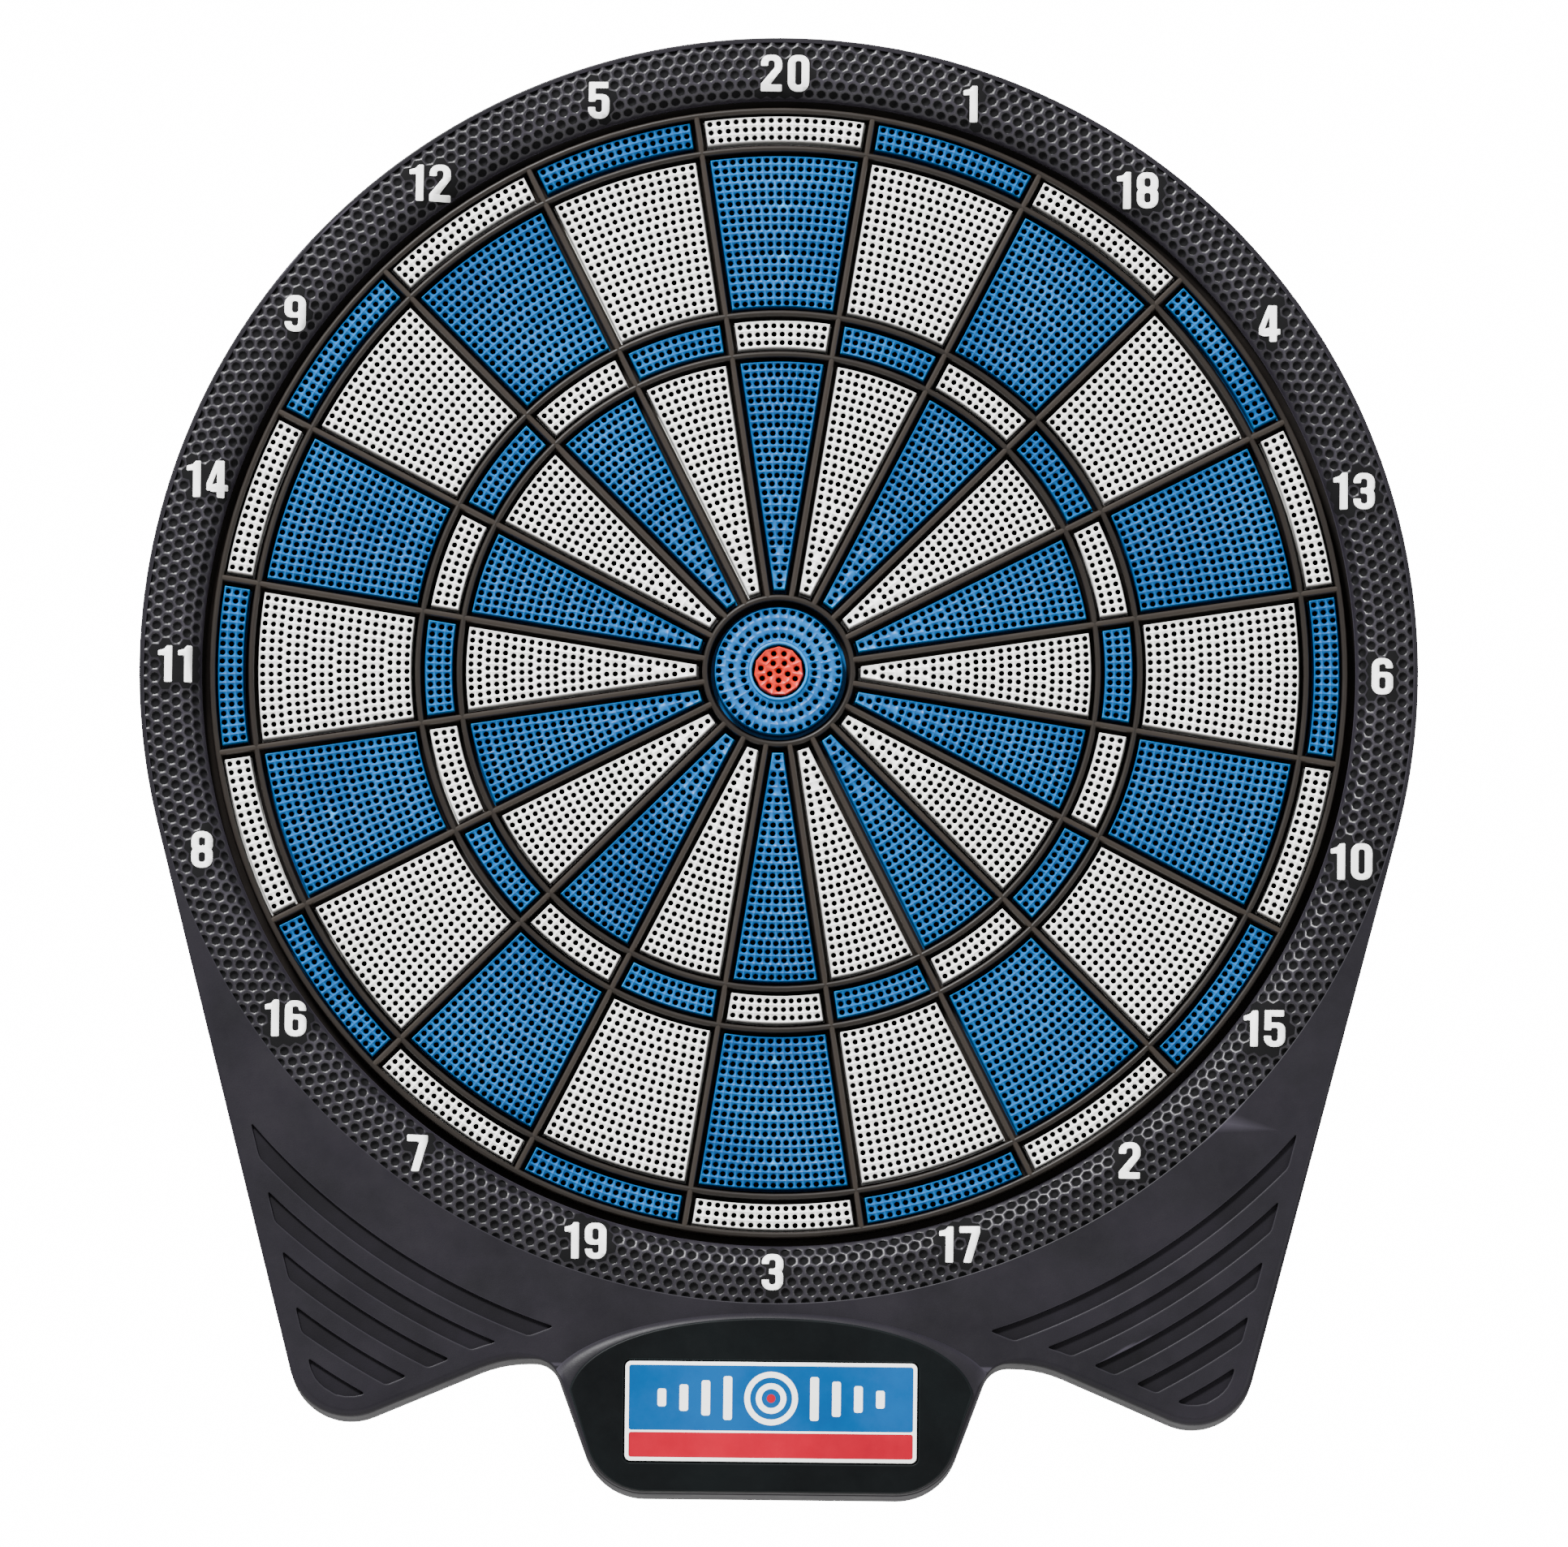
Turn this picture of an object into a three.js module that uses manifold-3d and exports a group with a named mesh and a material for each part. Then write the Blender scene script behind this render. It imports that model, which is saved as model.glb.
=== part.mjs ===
// Wall-hung electronic dartboard, in millimetres, +Z up.
//
// Every piece is drawn as it lies on a bench, face up: x to the right, y towards the "20" at the top, and z the
// distance from the wall. The whole board is then stood upright, so that its face looks along -Y and its flat back
// is the plane y = 0. The origin is on the back, behind the bull.

import * as THREE from 'three';
import { mergeVertices } from 'three/addons/utils/BufferGeometryUtils.js';
import Module from 'manifold-3d';

const wasm = await Module();
wasm.setup();

// ---------------------------------------------------------------- driving dimensions

// Target
const SECTOR_COUNT = 20;
const SECTOR_ANGLE = (2 * Math.PI) / SECTOR_COUNT;
const STEPS_PER_SECTOR = 2;
const BULL_SIDES = 20;
const BULL_BAR_RADIUS = 25.7;
const INNER_BAR_RADIUS = 111.2;
const TRIPLE_BAR_RADIUS = 125.6;
const DOUBLE_BAR_RADIUS = 183.6;
const RIM_BAR_RADIUS = 197;
const BAR_WIDTH = 2.2;
const KEY_RINGS = [[28.7, 108.7], [113.6, 123.1], [128, 181], [186.3, 195.1]];
const KEY_SIDE_INSET = 2.6;
const FLANGE_SIDE_INSET = 0.5;
const FLANGE_RADII = [26.6, 196.8];
const OUTER_BULL_RADII = [9.4, 22.3];
const OUTER_BULL_FLANGE_RADIUS = 25.4;
const INNER_BULL_RADIUS = 8.6;

// Layers, as distances from the wall
const BACK_WALL = 2.2;
const SPLIT_LINE = 12;
const BOARD_BACK = 7;
const BOARD_FRONT = 9;
const FILM_THICKNESS = 0.3;
const MAT_BACK = 10.5;
const MAT_FRONT = 12;
const KEY_BACK = 13.5;
const KEY_FLANGE_FRONT = 15.5;
const KEY_FRONT = 25;
const INNER_BULL_FRONT = 25.4;
const BAR_BACK = 15.8;
const BAR_FRONT = 26.2;
const SHELF_BACK = 20;
const SHELF_FRONT = 22.5;
const FACE_BACK = 24.5;
const FACE_FRONT = 27;
const POD_FRONT = 29.5;
const FASCIA_FRONT = 32;
const GAP = 0.3;
const FACE_TOLERANCE = 1e-3;

// Stack behind the keys
const STACK_RADIUS = 200;
const SPIDER_FLANGE_RADIUS = 209.5;
const SPIDER_FLANGE_BACK = 17.2;

// Casing outline
const RIM_RADIUS = 222.5;
const WALL = 2.2;
const RING_SEAT_RADIUS = 220.8;
const SHELF_RADIUS = 204;
const FIN_SIDE_ANGLE = THREE.MathUtils.degToRad(14.4);
const FIN_TIP = { x: 160.5, y: -269.7, fillet: 21.3 };
const NOTCH_OUTER = { x: 92.9, y: -241, fillet: 44 };
const NOTCH_INNER = { x: 75.9, y: -241, fillet: 9 };
const POD_CORNER = { x: 58.9, y: -287.5, fillet: 22 };
const ARC_STEP = THREE.MathUtils.degToRad(7.5);
const FILLET_STEP = THREE.MathUtils.degToRad(20);

// Fin grooves: arcs about the bull
const GROOVE_COUNT = 5;
const GROOVE_FIRST_RADIUS = 241.8;
const GROOVE_PITCH = 12.05;
const GROOVE_WIDTH = 5.9;
const GROOVE_DEPTH = 1.4;
const GROOVE_INSET = 7;

// Catch ring
const CATCH_INNER_RADIUS = 200.8;
const CATCH_OUTER_RADIUS = 220.4;
const CATCH_CROWN_RADIUS = 209;
const CATCH_SLOPE_RADIUS = 204.5;
const CATCH_FRONTS = { outer: 26.9, crown: 27.8, slope: 25.8, inner: 22 };
const CATCH_SKIRT = { radius: 203.7, back: 21.2 };

// Pod fascia and badge
const FASCIA_HALF_WIDTH = 70.6;
const FASCIA_SHOULDER_Y = -252;
const FASCIA_TOP_Y = -226.4;
const FASCIA_INSET = 0.7;
const BADGE = { width: 101, height: 34.6, y: -259, recess: 1.2, clearance: 0.6 };

// Battery bay
const CELL_COUNT = 3;
const CELL_RADIUS = 7.1;
const CELL_LENGTH = 49.2;
const CELL_NUB = { radius: 2.7, length: 1.3 };
const CELL_PITCH = 15.3;
const CELL_AXIS_DEPTH = 10.6;
const BAY = { halfWidth: 29.5, y: -246, halfHeight: 23.5, wall: 1.8, collar: 4.5, front: 17.9, floor: 1.5 };
const DOOR_OPENING = { halfWidth: 32, halfHeight: 25.8 };
const DOOR_BACK = 0.3;
const DOOR_FRONT = 1.9;
const DOOR_CLEARANCE = 0.4;
const DOOR_PIN = { radius: 0.6, reach: 33, pocketReach: 33.4, pocketHalf: 1, pocketFloor: 2 };

// Fasteners
const CASE_SCREW_RADIUS = 214;
const CASE_SCREW_ANGLES = [25, 80, 125];
const FIN_SCREW = { x: 147, y: -240 };
const CASE_SCREW = { head: 3.2, shank: 1.5, headBack: 0.9, headFront: 2.6, tip: 17 };
const BOSS = { radius: 4.4, bore: 1.9, counterbore: 3.6, counterboreDepth: 3 };
const SPIDER_SCREW_RADIUS = 206;
const SPIDER_SCREW_ANGLES = [45, 135, 225, 315];
const SPIDER_SCREW = { head: 2.6, shank: 1.3, headBack: 15.5, headFront: 16.9, tip: 21.8, bore: 1.7 };

// Hanging slots
const KEYHOLE = { x: 90, y: 120, head: 4.5, slot: 2.5, rise: 9 };

// Electronics
const RIB_RADII = [[90, 92], [185, 187]];
const RIB_FRONT = 6.7;
const CIRCUIT = { x: -121, y: -214, width: 58, height: 38, back: 5.5, front: 7.1 };
const SPEAKER = { x: 125, y: -212, radius: 18, magnet: 10, back: 2.6, rim: 4.4, cone: 8, front: 13 };
const SPEAKER_SLOTS = { count: 5, pitch: 5, width: 1.8 };
const SWITCH = { x: 58, y: -246, travel: 4, knobLength: 4.2, knobWidth: 4.6 };
const TAIL = { angle: THREE.MathUtils.degToRad(150.5), halfWidth: 12, from: 199.9, to: 227 };
const LEAD_RADIUS = 0.8;

// ---------------------------------------------------------------- solids

function solidOf(geometry) {
  geometry.deleteAttribute('normal');
  geometry.deleteAttribute('uv');
  const welded = mergeVertices(geometry, 1e-4);
  const vertProperties = new Float32Array(welded.attributes.position.array);
  const triVerts = new Uint32Array(welded.index.array);
  return new wasm.Manifold(new wasm.Mesh({ numProp: 3, vertProperties, triVerts }));
}

// Flat faces that came from different cuts are joined into one face before the mesh is taken.
function geometryOf(solid) {
  const mesh = solid.asOriginal().simplify(FACE_TOLERANCE).getMesh();
  const geometry = new THREE.BufferGeometry();
  geometry.setAttribute('position', new THREE.BufferAttribute(mesh.vertProperties, 3));
  geometry.setIndex(new THREE.BufferAttribute(mesh.triVerts, 1));
  return geometry;
}

function prism(points, back, front, holes = []) {
  const shape = new THREE.Shape(points);
  for (const hole of holes) shape.holes.push(new THREE.Path(hole));
  const geometry = new THREE.ExtrudeGeometry(shape, { depth: front - back, bevelEnabled: false });
  geometry.translate(0, 0, back);
  return solidOf(geometry);
}

function block(x0, x1, y0, y1, back, front) {
  const corners = [[x0, y0], [x1, y0], [x1, y1], [x0, y1]];
  return prism(corners.map(([x, y]) => new THREE.Vector2(x, y)), back, front);
}

function circle(radius, sides, x = 0, y = 0) {
  const points = [];
  for (let i = 0; i < sides; i += 1) {
    const angle = (i + 0.5) * ((2 * Math.PI) / sides);
    points.push(new THREE.Vector2(x + radius * Math.cos(angle), y + radius * Math.sin(angle)));
  }
  return points;
}

function disc(radius, back, front, sides, x = 0, y = 0) {
  return prism(circle(radius, sides, x, y), back, front);
}

function ring(inner, outer, back, front, sides) {
  return prism(circle(outer, sides), back, front, [circle(inner, sides)]);
}

// A round target ring has a corner on every sector line and STEPS_PER_SECTOR sides in each sector.
const TARGET_SIDES = SECTOR_COUNT * STEPS_PER_SECTOR;

function targetCircle(radius) {
  const points = [];
  for (let i = 0; i < TARGET_SIDES; i += 1) {
    const angle = (i / STEPS_PER_SECTOR + 0.5) * SECTOR_ANGLE;
    points.push(new THREE.Vector2(radius * Math.sin(angle), radius * Math.cos(angle)));
  }
  return points.reverse();
}

function targetRing(inner, outer, back, front) {
  return prism(targetCircle(outer), back, front, [targetCircle(inner)]);
}

function turnedBy(solid, angle) {
  return solid.rotate([0, 0, THREE.MathUtils.radToDeg(-angle)]);
}

function union(solids) {
  return solids.reduce((whole, solid) => whole.add(solid));
}

// ---------------------------------------------------------------- outlines

// Rounds each corner of a path with an arc of its own fillet radius; a corner with no fillet stays sharp.
function rounded(corners) {
  const points = [];
  corners.forEach((corner, i) => {
    const here = new THREE.Vector2(corner.x, corner.y);
    if (!corner.fillet) {
      points.push(here);
      return;
    }
    const before = corners[(i + corners.length - 1) % corners.length];
    const after = corners[(i + 1) % corners.length];
    const inward = new THREE.Vector2(before.x, before.y).sub(here).normalize();
    const outward = new THREE.Vector2(after.x, after.y).sub(here).normalize();
    const half = Math.acos(inward.dot(outward)) / 2;
    const centre = inward.clone().add(outward).normalize().multiplyScalar(corner.fillet / Math.sin(half)).add(here);
    const start = inward.multiplyScalar(corner.fillet / Math.tan(half)).add(here).sub(centre);
    const end = outward.multiplyScalar(corner.fillet / Math.tan(half)).add(here).sub(centre);
    let sweep = end.angle() - start.angle();
    if (sweep > Math.PI) sweep -= 2 * Math.PI;
    if (sweep < -Math.PI) sweep += 2 * Math.PI;
    const steps = Math.max(2, Math.round(Math.abs(sweep) / FILLET_STEP));
    for (let k = 0; k <= steps; k += 1) {
      points.push(start.clone().rotateAround(new THREE.Vector2(), (sweep * k) / steps).add(centre));
    }
  });
  return points;
}

const mirrored = (corner) => ({ ...corner, x: -corner.x });

// The rim arc runs anticlockwise over the top, from one straight fin side to the other.
function casingOutline(inset) {
  const radius = RIM_RADIUS - inset;
  const sweep = Math.PI + 2 * FIN_SIDE_ANGLE;
  const steps = Math.round(sweep / ARC_STEP);
  const corners = [];
  for (let k = 0; k <= steps; k += 1) {
    const angle = -FIN_SIDE_ANGLE + (sweep * k) / steps;
    corners.push({ x: radius * Math.cos(angle), y: radius * Math.sin(angle) });
  }
  const lower = lowerCorners(inset);
  return rounded([...corners, ...lower.map(mirrored), ...lower.reverse()]);
}

// Moves the lower corners in by an inset, each along the bisector of its two sides.
function lowerCorners(inset) {
  const side = new THREE.Vector2(Math.cos(FIN_SIDE_ANGLE), -Math.sin(FIN_SIDE_ANGLE)).multiplyScalar(RIM_RADIUS);
  const path = [side, FIN_TIP, NOTCH_OUTER, NOTCH_INNER, POD_CORNER, mirrored(POD_CORNER)];
  const result = [];
  for (let i = 1; i < path.length - 1; i += 1) {
    const here = new THREE.Vector2(path[i].x, path[i].y);
    const inDirection = here.clone().sub(path[i - 1]).normalize();
    const outDirection = new THREE.Vector2(path[i + 1].x, path[i + 1].y).sub(here).normalize();
    const inNormal = new THREE.Vector2(inDirection.y, -inDirection.x);
    const outNormal = new THREE.Vector2(outDirection.y, -outDirection.x);
    const bisector = inNormal.clone().add(outNormal);
    const shift = bisector.multiplyScalar((2 * inset) / bisector.lengthSq());
    const turn = inDirection.cross(outDirection);
    const fillet = path[i].fillet + (turn > 0 ? inset : -inset);
    result.push({ x: here.x + shift.x, y: here.y + shift.y, fillet: Math.max(fillet, 1.5) });
  }
  return result;
}

// The fascia: straight down its sides and bottom with the casing, and a low arch over its top.
function fasciaOutline(grow) {
  const shoulder = FASCIA_HALF_WIDTH - FASCIA_INSET + grow;
  const top = FASCIA_TOP_Y + grow;
  const arch = new THREE.CubicBezierCurve(
    new THREE.Vector2(shoulder, FASCIA_SHOULDER_Y),
    new THREE.Vector2(shoulder - 3.6, FASCIA_SHOULDER_Y + 16),
    new THREE.Vector2(38, top),
    new THREE.Vector2(0, top),
  );
  const half = arch.getPoints(7);
  const left = half.slice(0, -1).reverse().map((point) => new THREE.Vector2(-point.x, point.y));
  const corner = lowerCorners(FASCIA_INSET - grow)[3];
  const base = rounded([
    { x: -shoulder, y: FASCIA_SHOULDER_Y },
    mirrored(corner),
    corner,
    { x: shoulder, y: FASCIA_SHOULDER_Y },
  ]);
  return [...half, ...left, ...base.slice(1, -1)];
}

// ---------------------------------------------------------------- target pieces

// A wedge of one sector, pointing up, whose straight sides keep an inset from the two sector lines.
function sectorWedge(inset, back, front) {
  const apex = inset / Math.sin(SECTOR_ANGLE / 2);
  const reach = 2 * RIM_RADIUS;
  const spread = reach * Math.tan(SECTOR_ANGLE / 2);
  const corners = [
    new THREE.Vector2(0, apex),
    new THREE.Vector2(spread, apex + reach),
    new THREE.Vector2(-spread, apex + reach),
  ];
  return prism(corners, back, front);
}

// The four keys of one number, joined behind the bars by a thin flange.
function sectorKeys() {
  const keyWedge = sectorWedge(KEY_SIDE_INSET, KEY_BACK, KEY_FRONT);
  const flangeWedge = sectorWedge(FLANGE_SIDE_INSET, KEY_BACK, KEY_FLANGE_FRONT);
  const flange = targetRing(...FLANGE_RADII, KEY_BACK, KEY_FLANGE_FRONT).intersect(flangeWedge);
  const keys = KEY_RINGS.map(([inner, outer]) => targetRing(inner, outer, KEY_BACK, KEY_FRONT).intersect(keyWedge));
  return union([flange, ...keys]);
}

function outerBull() {
  const [bore, rim] = OUTER_BULL_RADII;
  const body = ring(bore, rim, KEY_BACK, KEY_FRONT, BULL_SIDES);
  return body.add(ring(bore, OUTER_BULL_FLANGE_RADIUS, KEY_BACK, KEY_FLANGE_FRONT, BULL_SIDES));
}

function innerBull() {
  return disc(INNER_BULL_RADIUS, KEY_BACK, INNER_BULL_FRONT, BULL_SIDES);
}

function spider() {
  const bars = [BULL_BAR_RADIUS, INNER_BAR_RADIUS, TRIPLE_BAR_RADIUS, DOUBLE_BAR_RADIUS, RIM_BAR_RADIUS].map(
    (radius) => targetRing(radius - BAR_WIDTH / 2, radius + BAR_WIDTH / 2, BAR_BACK, BAR_FRONT),
  );
  const half = BAR_WIDTH / 2;
  const spoke = block(-half, half, BULL_BAR_RADIUS, RIM_BAR_RADIUS, BAR_BACK, BAR_FRONT);
  for (let i = 0; i < SECTOR_COUNT; i += 1) {
    bars.push(turnedBy(spoke, (i + 0.5) * SECTOR_ANGLE));
  }
  bars.push(ring(RIM_BAR_RADIUS, SPIDER_FLANGE_RADIUS, SPIDER_FLANGE_BACK, SHELF_BACK - GAP, TARGET_SIDES));
  let solid = union(bars);
  for (const [x, y] of spiderScrewPlaces()) {
    solid = solid.subtract(disc(SPIDER_SCREW.bore, SPIDER_FLANGE_BACK - 1, SHELF_BACK, 8, x, y));
  }
  return solid;
}

function catchRing() {
  const profile = [
    [CATCH_INNER_RADIUS, CATCH_SKIRT.back],
    [CATCH_SKIRT.radius, CATCH_SKIRT.back],
    [CATCH_SKIRT.radius, SHELF_FRONT + GAP],
    [CATCH_OUTER_RADIUS, SHELF_FRONT + GAP],
    [CATCH_OUTER_RADIUS, CATCH_FRONTS.outer],
    [CATCH_CROWN_RADIUS, CATCH_FRONTS.crown],
    [CATCH_SLOPE_RADIUS, CATCH_FRONTS.slope],
    [CATCH_INNER_RADIUS, CATCH_FRONTS.inner],
    [CATCH_INNER_RADIUS, CATCH_SKIRT.back],
  ];
  const geometry = new THREE.LatheGeometry(profile.map(([r, z]) => new THREE.Vector2(r, z)), TARGET_SIDES);
  geometry.rotateY(Math.PI / TARGET_SIDES);
  geometry.rotateX(Math.PI / 2);
  return solidOf(geometry);
}

// ---------------------------------------------------------------- fastener places

function onCircle(radius, degrees) {
  const angle = THREE.MathUtils.degToRad(degrees);
  return [radius * Math.sin(angle), radius * Math.cos(angle)];
}

function caseScrewPlaces() {
  const places = [];
  for (const degrees of CASE_SCREW_ANGLES) {
    places.push(onCircle(CASE_SCREW_RADIUS, degrees), onCircle(CASE_SCREW_RADIUS, -degrees));
  }
  places.push([FIN_SCREW.x, FIN_SCREW.y], [-FIN_SCREW.x, FIN_SCREW.y]);
  return places;
}

function spiderScrewPlaces() {
  return SPIDER_SCREW_ANGLES.map((degrees) => onCircle(SPIDER_SCREW_RADIUS, degrees));
}

function screw(size, x, y) {
  const head = disc(size.head, size.headBack, size.headFront, 10, x, y);
  return head.add(disc(size.shank, size.headBack, size.tip, 8, x, y));
}

// ---------------------------------------------------------------- casing

function rearCasing() {
  let solid = prism(casingOutline(0), 0, SPLIT_LINE);
  solid = solid.subtract(prism(casingOutline(WALL), BACK_WALL, SPLIT_LINE + 1));
  for (const [inner, outer] of RIB_RADII) {
    solid = solid.add(ring(inner, outer, BACK_WALL - GAP, RIB_FRONT, 40));
  }
  solid = solid.add(batteryBay()).subtract(batteryBayHollow());
  for (const [x, y] of caseScrewPlaces()) {
    solid = solid.add(disc(BOSS.radius, BACK_WALL - GAP, SPLIT_LINE, 10, x, y));
    solid = solid.subtract(disc(BOSS.bore, -1, SPLIT_LINE + 1, 8, x, y));
    solid = solid.subtract(disc(BOSS.counterbore, -1, BOSS.counterboreDepth, 10, x, y));
  }
  for (const side of [-1, 1]) {
    solid = solid.subtract(keyhole(side * KEYHOLE.x));
  }
  const halfSlot = (SWITCH.knobLength + SWITCH.travel) / 2 + 0.2;
  const halfKnob = SWITCH.knobWidth / 2 + 0.3;
  const knobSlot = [SWITCH.x - halfSlot, SWITCH.x + halfSlot, SWITCH.y - halfKnob, SWITCH.y + halfKnob];
  solid = solid.subtract(block(...knobSlot, -1, BACK_WALL + 1));
  for (let i = 0; i < SPEAKER_SLOTS.count; i += 1) {
    const offset = (i - (SPEAKER_SLOTS.count - 1) / 2) * SPEAKER_SLOTS.pitch;
    const half = Math.sqrt((SPEAKER.radius - 3) ** 2 - offset ** 2);
    const y = SPEAKER.y + offset;
    const width = SPEAKER_SLOTS.width / 2;
    solid = solid.subtract(block(SPEAKER.x - half, SPEAKER.x + half, y - width, y + width, -1, BACK_WALL + 1));
  }
  return solid;
}

function batteryBay() {
  const collar = BAY.collar;
  const outer = block(
    -BAY.halfWidth - collar, BAY.halfWidth + collar,
    BAY.y - BAY.halfHeight - collar, BAY.y + BAY.halfHeight + collar,
    BACK_WALL - GAP, BACK_WALL + 2,
  );
  const box = block(
    -BAY.halfWidth - BAY.wall, BAY.halfWidth + BAY.wall,
    BAY.y - BAY.halfHeight - BAY.wall, BAY.y + BAY.halfHeight + BAY.wall,
    BACK_WALL, BAY.front + BAY.floor,
  );
  return outer.add(box);
}

function batteryBayHollow() {
  const bay = block(
    -BAY.halfWidth, BAY.halfWidth, BAY.y - BAY.halfHeight, BAY.y + BAY.halfHeight, -1, BAY.front,
  );
  const opening = block(
    -DOOR_OPENING.halfWidth, DOOR_OPENING.halfWidth,
    BAY.y - DOOR_OPENING.halfHeight, BAY.y + DOOR_OPENING.halfHeight, -1, BACK_WALL,
  );
  const pinPockets = block(
    -DOOR_PIN.pocketReach, DOOR_PIN.pocketReach,
    DOOR_HINGE.y - DOOR_PIN.pocketHalf, DOOR_HINGE.y + DOOR_PIN.pocketHalf, -1, DOOR_PIN.pocketFloor,
  );
  return union([bay, opening, pinPockets]);
}

// A round hole that takes a screw head, with a narrower slot above it.
function keyhole(x) {
  const head = disc(KEYHOLE.head, -1, BACK_WALL + 1, 12, x, KEYHOLE.y);
  const slotTop = KEYHOLE.y + KEYHOLE.rise;
  const slot = block(x - KEYHOLE.slot, x + KEYHOLE.slot, KEYHOLE.y, slotTop, -1, BACK_WALL + 1);
  return head.add(slot).add(disc(KEYHOLE.slot, -1, BACK_WALL + 1, 8, x, slotTop));
}

function frontCasing() {
  const wall = prism(casingOutline(0), SPLIT_LINE + GAP, FACE_FRONT);
  const hollow = prism(casingOutline(WALL), SPLIT_LINE, FACE_BACK);
  const seat = disc(RING_SEAT_RADIUS, SPLIT_LINE, FACE_FRONT + 1, TARGET_SIDES);
  const shelf = ring(SHELF_RADIUS, RIM_RADIUS, SHELF_BACK, SHELF_FRONT, TARGET_SIDES);
  const seatWall = ring(RING_SEAT_RADIUS, RIM_RADIUS, SHELF_BACK, FACE_FRONT, TARGET_SIDES);
  const inside = prism(casingOutline(0), SPLIT_LINE, FACE_FRONT);
  let solid = wall.subtract(hollow).subtract(seat);
  solid = solid.add(shelf.add(seatWall).intersect(inside));
  solid = solid.add(prism(fasciaOutline(0), FACE_BACK, POD_FRONT));
  solid = solid.subtract(prism(fasciaOutline(-WALL), FACE_BACK - 1, POD_FRONT - WALL));
  for (const [x, y] of caseScrewPlaces()) {
    const front = Math.hypot(x, y) < RIM_RADIUS ? SHELF_BACK + 1 : FACE_BACK + 1;
    solid = solid.add(disc(BOSS.radius, SPLIT_LINE + GAP, front, 10, x, y));
    solid = solid.subtract(disc(BOSS.bore, SPLIT_LINE, front - 1.5, 8, x, y));
  }
  for (const [x, y] of spiderScrewPlaces()) {
    solid = solid.subtract(disc(SPIDER_SCREW.bore, SHELF_BACK - 1, SHELF_FRONT + 1, 8, x, y));
  }
  return solid.subtract(finGrooves());
}

// The field of the grooves in both fins is the casing outline drawn in, without the pod.
function finGrooves() {
  const field = prism(casingOutline(GROOVE_INSET), FACE_FRONT - GROOVE_DEPTH, FACE_FRONT + 1);
  const middle = block(-76, 76, -RIM_RADIUS * 2, 0, FACE_FRONT - GROOVE_DEPTH - 1, FACE_FRONT + 2);
  const above = block(-RIM_RADIUS, RIM_RADIUS, -150, RIM_RADIUS, FACE_FRONT - GROOVE_DEPTH - 1, FACE_FRONT + 2);
  const fins = field.subtract(middle).subtract(above);
  const grooves = [];
  for (let i = 0; i < GROOVE_COUNT; i += 1) {
    const inner = GROOVE_FIRST_RADIUS + i * GROOVE_PITCH;
    grooves.push(ring(inner, inner + GROOVE_WIDTH, FACE_FRONT - GROOVE_DEPTH, FACE_FRONT + 1, TARGET_SIDES));
  }
  return union(grooves).intersect(fins);
}

function podFascia() {
  const half = { x: BADGE.width / 2 + BADGE.clearance, y: BADGE.height / 2 + BADGE.clearance };
  const recess = block(
    -half.x, half.x, BADGE.y - half.y, BADGE.y + half.y, FASCIA_FRONT - BADGE.recess, FASCIA_FRONT + 1,
  );
  return prism(fasciaOutline(0), POD_FRONT + GAP, FASCIA_FRONT).subtract(recess);
}

function badgePlate() {
  const corners = [[1, 1], [-1, 1], [-1, -1], [1, -1]].map(([sx, sy]) => ({
    x: (sx * BADGE.width) / 2,
    y: BADGE.y + (sy * BADGE.height) / 2,
    fillet: 2,
  }));
  return prism(rounded(corners), FASCIA_FRONT - BADGE.recess + GAP, FASCIA_FRONT);
}

// ---------------------------------------------------------------- power

function cell(index) {
  const y = BAY.y + (index - (CELL_COUNT - 1) / 2) * CELL_PITCH;
  const direction = index % 2 === 0 ? 1 : -1;
  const body = new THREE.CylinderGeometry(CELL_RADIUS, CELL_RADIUS, CELL_LENGTH, 12);
  const nub = new THREE.CylinderGeometry(CELL_NUB.radius, CELL_NUB.radius, 2 * CELL_NUB.length, 12);
  nub.translate(0, CELL_LENGTH / 2, 0);
  const solid = solidOf(body).add(solidOf(nub));
  return solid.rotate([0, 0, -90 * direction]).translate([0, y, CELL_AXIS_DEPTH]);
}

// A sprung strip at one end of the bay, with a raised pad for each cell.
function contactStrip(side) {
  const face = BAY.halfWidth - GAP;
  const strip = [block(face - 0.5, face, BAY.y - 22, BAY.y + 22, 4, 17)];
  for (let i = 0; i < CELL_COUNT; i += 1) {
    const y = BAY.y + (i - (CELL_COUNT - 1) / 2) * CELL_PITCH;
    const inner = CELL_LENGTH / 2 + CELL_NUB.length + GAP;
    strip.push(block(inner, face, y - 3, y + 3, CELL_AXIS_DEPTH - 3, CELL_AXIS_DEPTH + 3));
  }
  const solid = union(strip);
  return side < 0 ? solid.rotate([0, 0, 180]).translate([0, 2 * BAY.y, 0]) : solid;
}

// The door's upper edge is a half-round barrel about the hinge line, with a pin at each end.
const DOOR_BARREL_RADIUS = (DOOR_FRONT - DOOR_BACK) / 2;
const DOOR_HINGE = {
  y: BAY.y + DOOR_OPENING.halfHeight - DOOR_CLEARANCE - DOOR_BARREL_RADIUS,
  depth: (DOOR_BACK + DOOR_FRONT) / 2,
};

function rodAlongX(radius, halfLength, y, depth) {
  const geometry = new THREE.CylinderGeometry(radius, radius, 2 * halfLength, 12);
  geometry.rotateZ(Math.PI / 2);
  geometry.translate(0, y, depth);
  return solidOf(geometry);
}

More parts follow.
